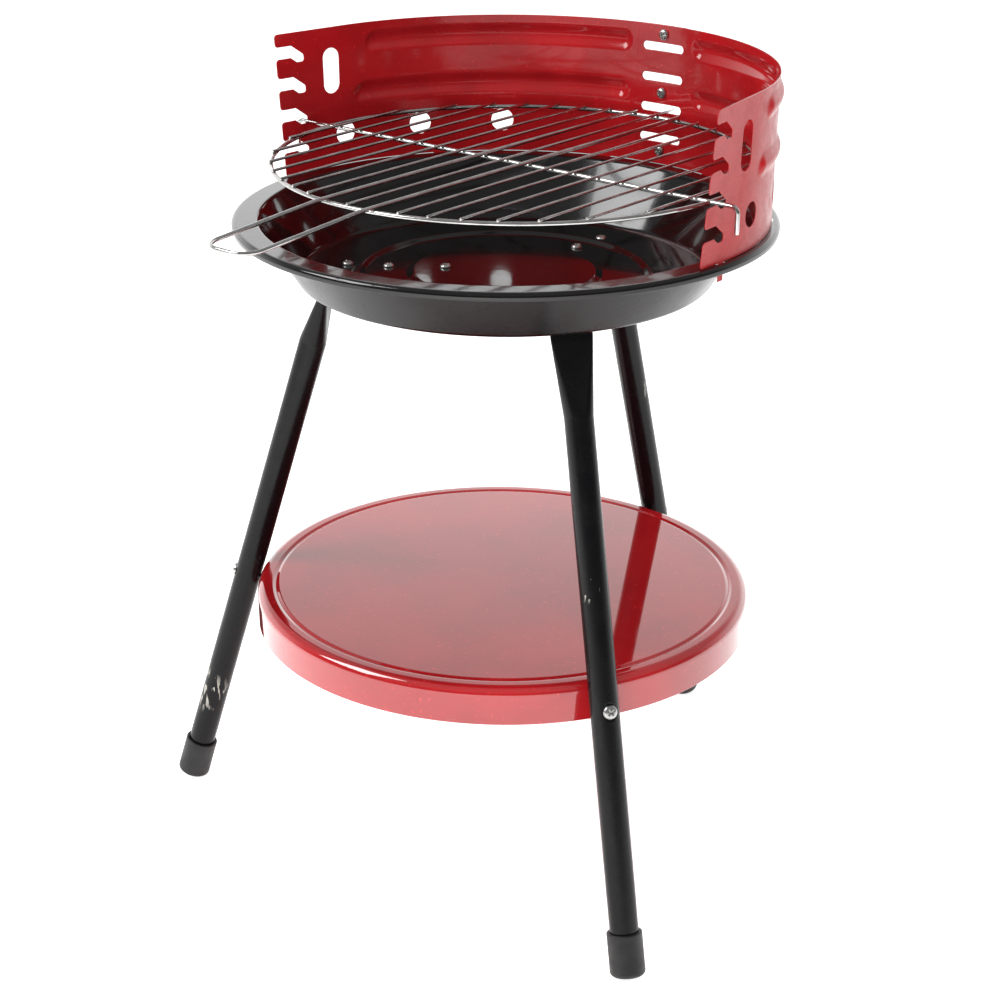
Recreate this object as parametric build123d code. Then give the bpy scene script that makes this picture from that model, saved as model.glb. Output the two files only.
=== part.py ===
"""Round charcoal barbecue on three tube legs, with a wind screen, a lift-off grate and a shelf.

The origin is on the floor, on the axis of the fire bowl.  +Z is up, +Y points to the rear leg and
the lap of the wind screen, and -Y to the grate's handle.  All sizes are millimetres.
"""
from build123d import *
from math import atan, cos, degrees, hypot, radians, sin, sqrt, tan
import os

# ---- stance --------------------------------------------------------------------------------
LEG_ANGLES = {"leg_front_right": -30, "leg_front_left": 210, "leg_rear": 90}
LEG_OD = 22.0                  # leg tube
LEG_WALL = 1.2
LEG_FOOT_RADIUS = 275.0        # where a leg's axis meets the floor
LEG_TOP_INSET = 23.7           # from the bowl floor's corner in to the bend of a leg
LEG_TAB_THICK = 2.4            # the tube's end pressed flat
LEG_TAB_WIDTH = 1.5 * LEG_OD   # a tube pressed flat spreads to half its girth
LEG_TAB_LENGTH = 54.3          # from the bend to the inner end of the tab
LEG_BEND_RADIUS = 8.0          # centre line of the bend under the bowl
LEG_FLAT_BEFORE_BEND = 2.0
LEG_FLARE_LENGTH = 58.0        # from round tube to pressed end
LEG_TUBE_START = 8.0           # tube end above the floor, along the axis

# ---- fire bowl -----------------------------------------------------------------------------
SHEET = 0.8                    # thickness of the pressed steel sheet
RIM_RADIUS = 210.0
RIM_TOP = 520.0
RIM_ROLL = 3.0                 # centre line radius of the turned-down edge
RIM_LIP = 6.0                  # height of the turned-down edge
FLANGE_WIDTH = 20.0            # from the rim's edge to the bowl's mouth
BOWL_DEPTH = 48.5              # from the flange's top to the floor's underside
BOWL_TAPER = 50.0              # how much smaller than the rim the floor's radius is
BOWL_CORNER = 6.0              # centre line radius between wall and floor
MOUTH_CORNER = 3.0             # centre line radius between flange and wall
DISC_RADIUS = 76.0             # raised middle of the floor
DISC_HEIGHT = 3.0
DISC_SLOPE = 5.0
DISC_CORNER = 2.0
BEAD_INSET = 22.3              # raised ring in the floor: from the leg's bend in to its middle
BEAD_WIDTH = 11.0
BEAD_HEIGHT = 2.5
BEAD_CORNER = 1.2

# ---- wind screen ---------------------------------------------------------------------------
SCREEN_INSET = 7.4             # from the rim's edge in to the right half's inner face
SCREEN_FLARE = 1.0             # how much wider the screen is at its top edge
SCREEN_HEIGHT = 114.5
SCREEN_GAP = 0.3               # between the screen and the flange
LAP_GAP = 0.05                 # between the two halves at the lap
LAP_HALF_ANGLE = 6.9
END_TURN_HIGH = 10.0           # how far round the flat end starts at the top edge, in degrees
END_FRONT = 32.0               # how far the flat ends reach in front of the bowl's axis
LEVEL_COUNT = 4
LEVEL_PITCH = 25.0
GRATE_LEVEL = 2                # the grate hangs in the third level from the top
FIRST_SLOT_BELOW_TOP = 18.0    # rear slot of the top level, centre
REAR_SLOT_WIDTH = 40.0
REAR_SLOT_HEIGHT = 7.0
NOTCH_REACH = 27.0             # from the front edge to the end of a seat
NOTCH_FLOOR_LENGTH = 14.5      # from the front edge to the drop into the seat
NOTCH_HEIGHT = 9.5             # of the straight part
SEAT_DEPTH = 4.0
SEAT_SLOPE = 35.0
SEAT_CORNER = 2.0              # lower corner of a seat
SEAT_ROOF_CORNER = 2.6
ROOF_PAST_FLOOR = 1.0          # the roof turns down this far behind the floor's drop
LIP_CORNER = 1.0
TOOTH_CORNER = 3.0
VENT_ANGLES = (40.0, 60.0, 80.0)   # each way from the lap
VENT_DIAMETER = 18.5
VENT_ABOVE_FLANGE = 26.5
SIDE_SLOT_WIDTH = 16.0
SIDE_SLOT_HEIGHT = 37.0
SIDE_SLOT_BACK = 22.0          # behind the bowl's axis
SIDE_SLOT_BELOW_TOP = 35.3     # its middle
RIB_BELOW_TOP = (15.5, 56.0)   # middles of the two ribs
RIB_HEIGHT = 14.0
RIB_DEPTH = 3.0
RIB_FROM_LAP = 9.5             # degrees
RIB_TO_LAP = 77.0
TAB_ANGLES = (15.0, 55.0)      # each way from the lap; a third tab is on the flat end
TAB_WIDTH = 10.0
TAB_LENGTH = 14.0
TAB_THICK = 0.75 * SHEET       # coined a little thinner than the sheet
TAB_FRONT = -6.0               # middle of the flat end's tab, along Y
TAB_SLOT_CLEARANCE = 1.0       # all round a tab in the flange

# ---- grate ---------------------------------------------------------------------------------
RING_CLEARANCE = 8.4           # from the ring to the screen on its nearer side
RING_WIRE = 3.4
RING_BEHIND_BAR = 9.0          # the ring's middle lies this far behind the crossbar
BAR_WIRE = 3.4
HANDLE_WIRE = 3.2
ROD_WIRE = 2.2
ROD_PITCH = 21.6
LAST_ROD_INSET = 10.0          # the outermost rod stays at least this far inside the ring
ROD_ABOVE_SLOT_FLOOR = 0.8     # the middle rod in its rear slot
WELD_BITE = 0.3                # how far welded wires sink into each other
GRATE_SIDE_SHIFT = 7.5         # the ring hangs this far off the bowl's axis
BAR_SIDE_SHIFT = 1.5           # and the crossbar this far
SEAT_CLEARANCE = 0.3           # crossbar to the end of its seat
SEAT_REST_GAP = 0.1            # crossbar above the floor of its seat
HOOK_CLEARANCE = 7.75          # from the screen's outer face to the turned-down end's centre line
HOOK_DROP = 19.5
HOOK_BEND = 5.0
PRONG_PAST_SCREEN = 5.0        # the middle rod's end, outside the rear slot
ROD_PAST_RING = 1.6
HANDLE_REACH = 120.0           # in front of the ring
HANDLE_CORNER = 15.0
HANDLE_DROP = 8.0              # the loop's end hangs this much below the rods
HANDLE_DROP_START = 8.0        # in front of the ring
HANDLE_DROP_BEND = 30.0

# ---- shelf ---------------------------------------------------------------------------------
SHELF_TOP = 212.5
SHELF_HEIGHT = 30.0
SHELF_EDGE = 7.0               # outer radius of its rounded edge
SHELF_GROOVE_INSET = 15.0      # shallow line pressed round the top
SHELF_GROOVE_DEPTH = 1.2
SHELF_GROOVE_WIDTH = 5.0
SHELF_GROOVE_CORNER = 1.5
SHELF_LEG_GAP = 0.2

# ---- foot caps -----------------------------------------------------------------------------
CAP_WALL = 2.4
CAP_HEIGHT = 34.0
CAP_BOTTOM = 6.0               # thickness under the tube
CAP_EDGE = 3.5
CAP_LIP = 1.0                  # rounding of the upper edge
CAP_BORE_GAP = 0.1

# ---- fasteners -----------------------------------------------------------------------------
M5 = dict(shank=5.0, head=9.0, head_height=2.8, nut=8.0, nut_height=4.0)
M6 = dict(shank=6.0, head=11.0, head_height=3.4, nut=10.0, nut_height=5.0)
HEAD_ROUND = 0.6               # share of a pan head's height that is rounded
RECESS_SPAN = 0.5              # cross recess across, as a share of the head
RECESS_ARM = 0.1               # and the width of its arms
NUT_CORNER = 0.6               # a nut's corner from its axis, as a share of its width
HOLE_CLEARANCE = 0.4
NUT_BORE_GAP = 0.1
FACE_GAP = 0.05                # between a fastener's face and the sheet it clamps
THREAD_PAST_NUT = 2.0
LEG_SCREW_INSETS = (44.3, 11.3)   # from the leg's bend inwards
FLOOR_SCREW = (46.0, 215.0)    # radius and angle of the single screw in the raised disc
LAP_SCREWS_BELOW_TOP = (7.6, 55.5, 103.5)
SCREW_SEAT_DEPTH = 0.9         # flat pressed in a leg under its shelf screw
WALL_CUT = 30.0                # how far a cutter reaches each way through a wall

# ---- derived places ------------------------------------------------------------------------
BOWL_UNDERSIDE = RIM_TOP - BOWL_DEPTH
BOWL_FLOOR_RADIUS = RIM_RADIUS - BOWL_TAPER
LEG_TOP_RADIUS = BOWL_FLOOR_RADIUS - LEG_TOP_INSET
LEG_SCREW_RADII = [LEG_TOP_RADIUS - inset for inset in LEG_SCREW_INSETS]
SCREEN_RADIUS_LOW = RIM_RADIUS - SCREEN_INSET
SCREEN_RADIUS_HIGH = SCREEN_RADIUS_LOW + SCREEN_FLARE
SCREEN_BASE = RIM_TOP + SCREEN_GAP
SCREEN_TOP = SCREEN_BASE + SCREEN_HEIGHT
TAB_MID_Z = BOWL_UNDERSIDE - FACE_GAP - LEG_TAB_THICK / 2
LEG_SLOPE = (LEG_FOOT_RADIUS - LEG_TOP_RADIUS) / TAB_MID_Z
LEG_TILT = degrees(atan(LEG_SLOPE))
SHELF_SCREW_Z = SHELF_TOP - SHELF_HEIGHT / 2
SHELF_RADIUS = (LEG_FOOT_RADIUS - LEG_SLOPE * SHELF_TOP
                - LEG_OD / 2 / cos(radians(LEG_TILT)) - SHELF_LEG_GAP)
LEVEL_Z = SCREEN_TOP - FIRST_SLOT_BELOW_TOP - GRATE_LEVEL * LEVEL_PITCH
ROD_Z = LEVEL_Z - REAR_SLOT_HEIGHT / 2 + ROD_WIRE / 2 + ROD_ABOVE_SLOT_FLOOR
GRATE_Z = ROD_Z - (RING_WIRE + ROD_WIRE) / 2 + WELD_BITE
SEAT_FLOOR_Z = GRATE_Z - BAR_WIRE / 2 - SEAT_REST_GAP
BAR_Y = -END_FRONT + NOTCH_REACH - SEAT_CLEARANCE - BAR_WIRE / 2
RING_Y = BAR_Y + RING_BEHIND_BAR
LAP_OUTER = SHEET * 2 + LAP_GAP
RING_RADIUS = SCREEN_RADIUS_LOW - GRATE_SIDE_SHIFT - RING_CLEARANCE - RING_WIRE / 2
RODS_PER_SIDE = int((RING_RADIUS - LAST_ROD_INSET) / ROD_PITCH)
HOOK_HALF_SPAN = SCREEN_RADIUS_HIGH + LAP_OUTER + BAR_SIDE_SHIFT + HOOK_CLEARANCE
CAP_OD = LEG_OD + 2 * (CAP_BORE_GAP + CAP_WALL)


def screen_radius(z):
    """Inner radius of the right half of the screen at height z."""
    share = (z - SCREEN_BASE) / SCREEN_HEIGHT
    return SCREEN_RADIUS_LOW + share * (SCREEN_RADIUS_HIGH - SCREEN_RADIUS_LOW)


def polar(radius, angle, z=0.0):
    """Point at a radius, an angle in degrees and a height."""
    return Vector(radius * cos(radians(angle)), radius * sin(radians(angle)), z)


def leg_point(angle, z):
    """Point of a leg's axis at height z."""
    return polar(LEG_FOOT_RADIUS - LEG_SLOPE * z, angle, z)


def rod_between(start, end, diameter):
    """Round bar from one point to another."""
    start = Vector(start)
    run = Vector(end) - start
    return extrude(Plane(origin=start, z_dir=run) * Circle(diameter / 2), run.length)


def sheet_of_revolution(points, radii, thickness):
    """Pressed sheet turned about Z; the line through its middle is given in X and Z."""
    line = FilletPolyline(*[(x, z) for x, z in points], radius=radii)
    section = trace(line, thickness)
    return revolve(Plane.XZ * section, Axis.Z)


# ---- fasteners -----------------------------------------------------------------------------
def screw(size, length):
    """Pan-head cross-recess screw: its head sits on Z = 0 and its shank runs down."""
    head = extrude(Circle(size["head"] / 2), size["head_height"])
    head = fillet(head.edges().group_by(Axis.Z)[-1], size["head_height"] * HEAD_ROUND)
    span = size["head"] * RECESS_SPAN
    arm = size["head"] * RECESS_ARM
    slot = Box(span, arm, size["head_height"]) + Box(arm, span, size["head_height"])
    head -= Pos(0, 0, size["head_height"]) * slot
    return head + extrude(Circle(size["shank"] / 2), -length)


def nut(size):
    """Hexagon nut whose face sits on Z = 0 and that reaches down."""
    outline = RegularPolygon(size["nut"] / 2, 6, major_radius=False)
    return extrude(outline - Circle(size["shank"] / 2 + NUT_BORE_GAP), -size["nut_height"])


def fastener_pair(size, seat, direction, grip):
    """Screw and nut that clamp a stack of thickness grip, from the seat along the direction."""
    plane = Plane(origin=seat, z_dir=-Vector(direction))
    length = grip + size["nut_height"] + THREAD_PAST_NUT
    pair_screw = plane * Pos(0, 0, FACE_GAP) * screw(size, length)
    pair_nut = plane * Pos(0, 0, -grip - FACE_GAP) * nut(size)
    return pair_screw, pair_nut


# ---- fire bowl -----------------------------------------------------------------------------
def half_offset(side):
    """The left half, side -1, lies outside the right one by a sheet and the lap's gap."""
    return SHEET + LAP_GAP if side < 0 else 0.0


def tab_places(side):
    """Middle of each base tab of one half of the screen, and the tab's turn about Z."""
    radius = screen_radius(SCREEN_BASE) + half_offset(side) + SHEET / 2
    places = [(polar(radius, 90 - side * a), 90 - side * a) for a in TAB_ANGLES]
    return places + [(Vector(side * radius, TAB_FRONT, 0), 0)]


def fire_bowl():
    """Pressed bowl with a flat flange, a turned-down edge and pressed rings in its floor."""
    floor = BOWL_UNDERSIDE + SHEET / 2
    flange = RIM_TOP - SHEET / 2
    edge = RIM_RADIUS - SHEET / 2
    bead_in = LEG_TOP_RADIUS - BEAD_INSET - BEAD_WIDTH / 2
    bead_out = bead_in + BEAD_WIDTH
    bead_side = BEAD_WIDTH / 3
    points = [(0, floor + DISC_HEIGHT), (DISC_RADIUS - DISC_SLOPE, floor + DISC_HEIGHT),
              (DISC_RADIUS, floor), (bead_in, floor), (bead_in + bead_side, floor + BEAD_HEIGHT),
              (bead_out - bead_side, floor + BEAD_HEIGHT), (bead_out, floor),
              (BOWL_FLOOR_RADIUS - SHEET / 2, floor),
              (RIM_RADIUS - FLANGE_WIDTH, flange), (edge, flange), (edge, RIM_TOP - RIM_LIP)]
    radii = [DISC_CORNER] * 2 + [BEAD_CORNER] * 4 + [BOWL_CORNER, MOUTH_CORNER, RIM_ROLL]
    bowl = sheet_of_revolution(points, radii, SHEET)
    slot = Box(SHEET + 2 * TAB_SLOT_CLEARANCE, TAB_WIDTH + 2 * TAB_SLOT_CLEARANCE, 4 * SHEET)
    for side in (-1, 1):
        for place, turn in tab_places(side):
            bowl -= Pos(place.X, place.Y, flange) * Rot(0, 0, turn) * slot
    hole = Cylinder((M5["shank"] + HOLE_CLEARANCE) / 2, 4 * DISC_HEIGHT)
    for angle in LEG_ANGLES.values():
        for radius in LEG_SCREW_RADII:
            bowl -= Pos(*polar(radius, angle, floor)) * hole
    bowl -= Pos(*polar(*FLOOR_SCREW, floor + DISC_HEIGHT)) * hole
    return bowl


# ---- wind screen ---------------------------------------------------------------------------
def screen_section(radius, turn):
    """Plan of the left half at one height: an arc from the lap, then a straight end tangent to it."""
    lap = 90 - LAP_HALF_ANGLE
    last = 180 - turn
    lines = []
    corners = []
    for r in (radius, radius + SHEET):
        start = polar(r, last)
        tip = Vector(start.X - (start.Y + END_FRONT) * tan(radians(turn)), -END_FRONT)
        lines.append(ThreePointArc(polar(r, lap), polar(r, (lap + last) / 2), start))
        lines.append(Line(start, tip))
        corners.append((polar(r, lap), tip))
    lines.append(Line(corners[0][0], corners[1][0]))
    lines.append(Line(corners[0][1], corners[1][1]))
    return make_face(lines)


def notch_outline(floor_z):
    """Side view of one notch, in Y and Z: a straight channel that drops into a seat."""
    front = -END_FRONT
    run = SEAT_DEPTH / tan(radians(SEAT_SLOPE))
    channel = floor_z + SEAT_DEPTH
    roof = channel + NOTCH_HEIGHT
    back = front + NOTCH_REACH
    roof_end = front + NOTCH_FLOOR_LENGTH + ROOF_PAST_FLOOR
    roof_low = roof - (back - roof_end) * tan(radians(SEAT_SLOPE))
    corners = [(front - 2 * TOOTH_CORNER, channel), (front + NOTCH_FLOOR_LENGTH, channel),
               (front + NOTCH_FLOOR_LENGTH + run, floor_z), (back, floor_z), (back, roof_low),
               (roof_end, roof), (front - 2 * TOOTH_CORNER, roof)]
    face = make_face(Polyline(*corners, close=True))
    picks = {1: LIP_CORNER, 2: LIP_CORNER, 3: SEAT_CORNER, 4: SEAT_ROOF_CORNER, 5: LIP_CORNER}
    for index, radius in picks.items():
        y, z = corners[index]
        vertex = face.vertices().sort_by_distance((y, z, 0))[0]
        face = fillet(vertex, radius)
    return face


def front_waste():
    """Side view, in Y and Z, of what the press cuts from a flat end to leave its rounded teeth."""
    depth = NOTCH_REACH + 4 * TOOTH_CORNER
    tallest = SCREEN_HEIGHT + 2 * SHEET
    middle_z = SCREEN_BASE + SCREEN_HEIGHT / 2
    teeth = Pos(-END_FRONT + depth / 2, middle_z) * Rectangle(depth, SCREEN_HEIGHT)
    for level in range(LEVEL_COUNT):
        teeth -= notch_outline(SEAT_FLOOR_Z + (GRATE_LEVEL - level) * LEVEL_PITCH)
    front = [v for v in teeth.vertices() if abs(v.X + END_FRONT) < 0.01]
    teeth = fillet(front, TOOTH_CORNER)
    return Pos(-END_FRONT + depth / 2 - TOOTH_CORNER, middle_z) * Rectangle(depth, tallest) - teeth


def rib(radius, z):
    """Outward bulge of the left half's sheet, and the hollow behind it."""
    half = RIB_HEIGHT / 2
    solids = []
    for grow, root in ((SHEET, SHEET / 2), (0.0, -SHEET / 2)):
        arc = ThreePointArc((radius + root, z - half - grow), (radius + RIB_DEPTH + grow, z),
                            (radius + root, z + half + grow))
        face = make_face([arc, Line(arc @ 0, arc @ 1)])
        turned = revolve(Plane.XZ * face, Axis.Z, RIB_TO_LAP - RIB_FROM_LAP)
        solids.append(Rot(0, 0, 90 + RIB_FROM_LAP) * turned)
    return solids


def wind_screen_half(side):
    """One half of the screen, made as the left one: side +1 is its mirror image, the right half."""
    offset = half_offset(side)
    low = Pos(0, 0, SCREEN_BASE) * screen_section(SCREEN_RADIUS_LOW + offset, 0.0)
    high = Pos(0, 0, SCREEN_TOP) * screen_section(SCREEN_RADIUS_HIGH + offset, END_TURN_HIGH)
    half = loft([low, high], ruled=True)
    for below in RIB_BELOW_TOP:
        z = SCREEN_TOP - below
        bulge, hollow = rib(screen_radius(z) + offset, z)
        half = half + bulge - hollow
    half -= extrude(Plane.YZ * front_waste(), -2 * RIM_RADIUS)
    tab = Box(TAB_THICK, TAB_WIDTH, TAB_LENGTH + SHEET)
    for place, turn in tab_places(side):
        x = -abs(place.X)
        upright = turn if side < 0 else 180 - turn
        half += Pos(x, place.Y, SCREEN_BASE + (SHEET - TAB_LENGTH) / 2) * Rot(0, 0, upright) * tab
    for angle in VENT_ANGLES:
        drill = Rot(0, 0, 90 + angle) * Rot(0, 90, 0) * Cylinder(VENT_DIAMETER / 2, 2 * WALL_CUT)
        half -= Pos(*polar(SCREEN_RADIUS_HIGH, 90 + angle, RIM_TOP + VENT_ABOVE_FLANGE)) * drill
    side_slot = SlotOverall(SIDE_SLOT_HEIGHT, SIDE_SLOT_WIDTH, rotation=90)
    slot = extrude(Plane.YZ * side_slot, WALL_CUT, both=True)
    half -= Pos(-RIM_RADIUS, SIDE_SLOT_BACK, SCREEN_TOP - SIDE_SLOT_BELOW_TOP) * slot
    rear = extrude(Plane.XZ * SlotOverall(REAR_SLOT_WIDTH, REAR_SLOT_HEIGHT), WALL_CUT, both=True)
    for level in range(LEVEL_COUNT):
        z = SCREEN_TOP - FIRST_SLOT_BELOW_TOP - level * LEVEL_PITCH
        half -= Pos(0, RIM_RADIUS, z) * rear
    hole = Rot(90, 0, 0) * Cylinder((M5["shank"] + HOLE_CLEARANCE) / 2, 2 * WALL_CUT)
    for below in LAP_SCREWS_BELOW_TOP:
        half -= Pos(0, RIM_RADIUS, SCREEN_TOP - below) * hole
    return half if side < 0 else mirror(half, Plane.YZ)


def lap_fasteners():
    """Three screws from inside, through both halves, with nuts outside."""
    screws, nuts = [], []
    for below in LAP_SCREWS_BELOW_TOP:
        z = SCREEN_TOP - below
        inner = screen_radius(z - M5["head"] / 2)
        outer = screen_radius(z + M5["nut"] / 2) + LAP_OUTER
        seat = Vector(0, sqrt(inner ** 2 - (M5["head"] / 2) ** 2), z)
        grip = outer - seat.Y
        pair = fastener_pair(M5, seat, (0, 1, 0), grip)
        screws.append(pair[0])
        nuts.append(pair[1])
    return screws, nuts


# ---- legs ----------------------------------------------------------------------------------
def leg(angle):
    """Tube leg: its upper end is pressed flat and bent to lie under the bowl's floor."""
    lean = radians(LEG_TILT)
    up = Vector(-sin(lean), 0, cos(lean))
    corner = Vector(LEG_TOP_RADIUS, 0, TAB_MID_Z)
    start = Vector(LEG_FOOT_RADIUS, 0, 0) + up * LEG_TUBE_START
    bend_run = LEG_BEND_RADIUS * tan((radians(90) - lean) / 2)
    flat_start = corner - up * (bend_run + LEG_FLAT_BEFORE_BEND)
    flare_start = flat_start - up * LEG_FLARE_LENGTH
    tube = rod_between(start, flare_start, LEG_OD)
    round_end = Plane(origin=flare_start, z_dir=up, x_dir=(0, 1, 0)) * Circle(LEG_OD / 2)
    press = SlotOverall(LEG_TAB_WIDTH, LEG_TAB_THICK)
    flat_end = Plane(origin=flat_start, z_dir=up, x_dir=(0, 1, 0)) * press
    flare = loft([round_end, flat_end])
    inner_end = corner - Vector(LEG_TAB_LENGTH, 0, 0)
    path = FilletPolyline(flat_start, corner, inner_end, radius=LEG_BEND_RADIUS)
    tab = sweep(flat_end, path=path)
    body = tube + flare + tab
    body -= rod_between(start - up, flare_start, LEG_OD - 2 * LEG_WALL)
    hole = Cylinder((M5["shank"] + HOLE_CLEARANCE) / 2, 4 * LEG_TAB_THICK)
    for radius in LEG_SCREW_RADII:
        body -= Pos(radius, 0, TAB_MID_Z) * hole
    middle = Vector(LEG_FOOT_RADIUS - LEG_SLOPE * SHELF_SCREW_Z, 0, SHELF_SCREW_Z)
    outward = Vector(cos(lean), 0, sin(lean))
    body -= rod_between(middle - outward * LEG_OD, middle + outward * LEG_OD, M6["shank"] + HOLE_CLEARANCE)
    flat = middle + outward * (LEG_OD / 2 - SCREW_SEAT_DEPTH)
    body -= rod_between(flat, flat + outward * LEG_OD, M6["head"] + HOLE_CLEARANCE)
    return Rot(0, 0, angle) * body


def foot_cap(angle):
    """Moulded cup on a leg's lower end, worn flat where it stands on the floor."""
    lean = radians(LEG_TILT)
    up = Vector(-sin(lean), 0, cos(lean))
    floor_point = Vector(LEG_FOOT_RADIUS, 0, 0)
    base = floor_point + up * (LEG_TUBE_START - CAP_BOTTOM)
    plane = Plane(origin=base, z_dir=up, x_dir=(0, 1, 0))
    cup = extrude(Circle(CAP_OD / 2), CAP_HEIGHT)
    cup = fillet(cup.edges().group_by(Axis.Z)[0], CAP_EDGE)
    cup = fillet(cup.edges().group_by(Axis.Z)[-1], CAP_LIP)
    bore = Pos(0, 0, CAP_BOTTOM) * extrude(Circle(LEG_OD / 2 + CAP_BORE_GAP), CAP_HEIGHT)
    cap = plane * (cup - bore)
    cap -= Pos(LEG_FOOT_RADIUS, 0, -CAP_OD) * Box(4 * CAP_OD, 4 * CAP_OD, 2 * CAP_OD)
    return Rot(0, 0, angle) * cap


def leg_fasteners():
    """Two screws a leg, down through the bowl's floor and the leg's tab."""
    screws, nuts = [], []
    seat_z = BOWL_UNDERSIDE + SHEET
    grip = SHEET + FACE_GAP + LEG_TAB_THICK
    for angle in LEG_ANGLES.values():
        for radius in LEG_SCREW_RADII:
            pair = fastener_pair(M5, polar(radius, angle, seat_z), (0, 0, -1), grip)
            screws.append(pair[0])
            nuts.append(pair[1])
    return screws, nuts


def floor_fastener():
    """The single screw in the raised disc of the floor."""
    seat = polar(*FLOOR_SCREW, BOWL_UNDERSIDE + SHEET + DISC_HEIGHT)
    return fastener_pair(M5, seat, (0, 0, -1), SHEET)


# ---- shelf ---------------------------------------------------------------------------------
def shelf_tray():
    """Round pressed tray, open underneath, with a line pressed round its top."""
    top = SHELF_TOP - SHEET / 2
    edge = SHELF_RADIUS - SHEET / 2
    groove = SHELF_RADIUS - SHELF_GROOVE_INSET
    half = SHELF_GROOVE_WIDTH / 2
    points = [(0, top), (groove - half, top), (groove, top - SHELF_GROOVE_DEPTH),
              (groove + half, top), (edge, top), (edge, SHELF_TOP - SHELF_HEIGHT)]
    radii = [SHELF_GROOVE_CORNER] * 3 + [SHELF_EDGE - SHEET / 2]
    tray = sheet_of_revolution(points, radii, SHEET)
    for angle in LEG_ANGLES.values():
        middle, outward = shelf_screw_axis(angle)
        tray -= rod_between(middle - outward * WALL_CUT, middle, M6["shank"] + 3 * HOLE_CLEARANCE)
    return tray


def shelf_screw_axis(angle):
    """Point on a leg's axis that a shelf screw passes, and the screw's outward direction."""
    lean = radians(LEG_TILT)
    outward = polar(cos(lean), angle, sin(lean))
    return leg_point(angle, SHELF_SCREW_Z), outward


def shelf_fasteners():
    """One screw a leg, square to the leg, with its nut behind the tray's skirt."""
    screws, nuts = [], []
    for angle in LEG_ANGLES.values():
        middle, outward = shelf_screw_axis(angle)
        lean = radians(LEG_TILT)
        seat = middle + outward * (LEG_OD / 2 - SCREW_SEAT_DEPTH)
        skirt = (hypot(middle.X, middle.Y) - SHELF_RADIUS + SHEET) / cos(lean)
        grip = LEG_OD / 2 - SCREW_SEAT_DEPTH + skirt + M6["nut"] * NUT_CORNER * tan(lean)
        pair = fastener_pair(M6, seat, -outward, grip)
        screws.append(pair[0])
        nuts.append(pair[1])
    return screws, nuts


# ---- grate ---------------------------------------------------------------------------------
def grate_ring():
    """Closed wire ring."""
    ring = Torus(RING_RADIUS, RING_WIRE / 2)
    return Pos(GRATE_SIDE_SHIFT, RING_Y, GRATE_Z) * ring


def rod_ends(offset):
    """Front and back of a wire that lies across the ring at a side offset."""
    reach = sqrt(RING_RADIUS ** 2 - offset ** 2)
    return RING_Y - reach - ROD_PAST_RING, RING_Y + reach + ROD_PAST_RING


def grate_rods():
    """Thin rods on top of the ring; the middle one runs on through a rear slot.

    The handle's wires take the first step each side, so the thin rods go on from the second.
    """
    rods = []
    steps = [0] + [s * k for k in range(2, RODS_PER_SIDE + 1) for s in (-1, 1)]
    for step in steps:
        offset = step * ROD_PITCH
        front, back = rod_ends(offset)
        if step == 0:
            back = SCREEN_RADIUS_HIGH + LAP_OUTER + PRONG_PAST_SCREEN
        x = GRATE_SIDE_SHIFT + offset
        rods.append(rod_between((x, front, ROD_Z), (x, back, ROD_Z), ROD_WIRE))
    return rods


def grate_handle():
    """One thick wire: back to front beside the middle rod, round the loop and back again."""
    z = GRATE_Z + (RING_WIRE + HANDLE_WIRE) / 2 - WELD_BITE
    ring_front, back = rod_ends(ROD_PITCH)
    tip = ring_front - HANDLE_REACH
    drop_start = ring_front - HANDLE_DROP_START
    loop_z = z - HANDLE_DROP
    points = []
    for side in (-1, 1):
        x = GRATE_SIDE_SHIFT + side * ROD_PITCH
        run = [(x, back, z), (x, drop_start, z), (x, tip, loop_z)]
        points += run if side < 0 else run[::-1]
    bends = [HANDLE_DROP_BEND, HANDLE_CORNER, HANDLE_CORNER, HANDLE_DROP_BEND]
    path = FilletPolyline(*points, radius=bends)
    section = Plane(origin=path @ 0, z_dir=path % 0) * Circle(HANDLE_WIRE / 2)
    return sweep(section, path=path)


def grate_crossbar():
    """Wire across the ring whose turned-down ends hang outside the screen."""
    low = GRATE_Z - HOOK_DROP
    left = BAR_SIDE_SHIFT - HOOK_HALF_SPAN
    right = BAR_SIDE_SHIFT + HOOK_HALF_SPAN
    points = [(left, BAR_Y, low), (left, BAR_Y, GRATE_Z),
              (right, BAR_Y, GRATE_Z), (right, BAR_Y, low)]
    path = FilletPolyline(*points, radius=HOOK_BEND)
    section = Plane(origin=path @ 0, z_dir=path % 0) * Circle(BAR_WIRE / 2)
    return sweep(section, path=path)


# ---- files ---------------------------------------------------------------------------------
def all_parts():
    """Every node by name."""
    parts = {"fire_bowl": fire_bowl(), "wind_screen_right": wind_screen_half(1),
             "wind_screen_left": wind_screen_half(-1), "shelf_tray": shelf_tray()}
    for name, angle in LEG_ANGLES.items():
        parts[name] = leg(angle)
        parts[name.replace("leg", "foot_cap")] = foot_cap(angle)
    for name, made in (("screen_lap", lap_fasteners()), ("leg", leg_fasteners()),
                       ("shelf", shelf_fasteners())):
        parts[name + "_screws"], parts[name + "_nuts"] = made
    parts["bowl_floor_screw"], parts["bowl_floor_nut"] = floor_fastener()
    parts["grate_ring"] = grate_ring()
    parts["grate_rods"] = grate_rods()
    parts["grate_handle"] = grate_handle()
    parts["grate_crossbar"] = grate_crossbar()
    return parts


def write_parts():
    """One STEP file a node; a group of like pieces is a compound of separate solids."""
    os.makedirs("parts", exist_ok=True)
    for name, shape in all_parts().items():
        if isinstance(shape, list):
            shape = Compound(children=shape)
        shape.label = name
        export_step(shape, f"parts/{name}.step")


write_parts()
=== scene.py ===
import math

import bmesh
import bpy
import numpy as np
from mathutils import Matrix, Vector
from mathutils.geometry import delaunay_2d_cdt


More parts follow.
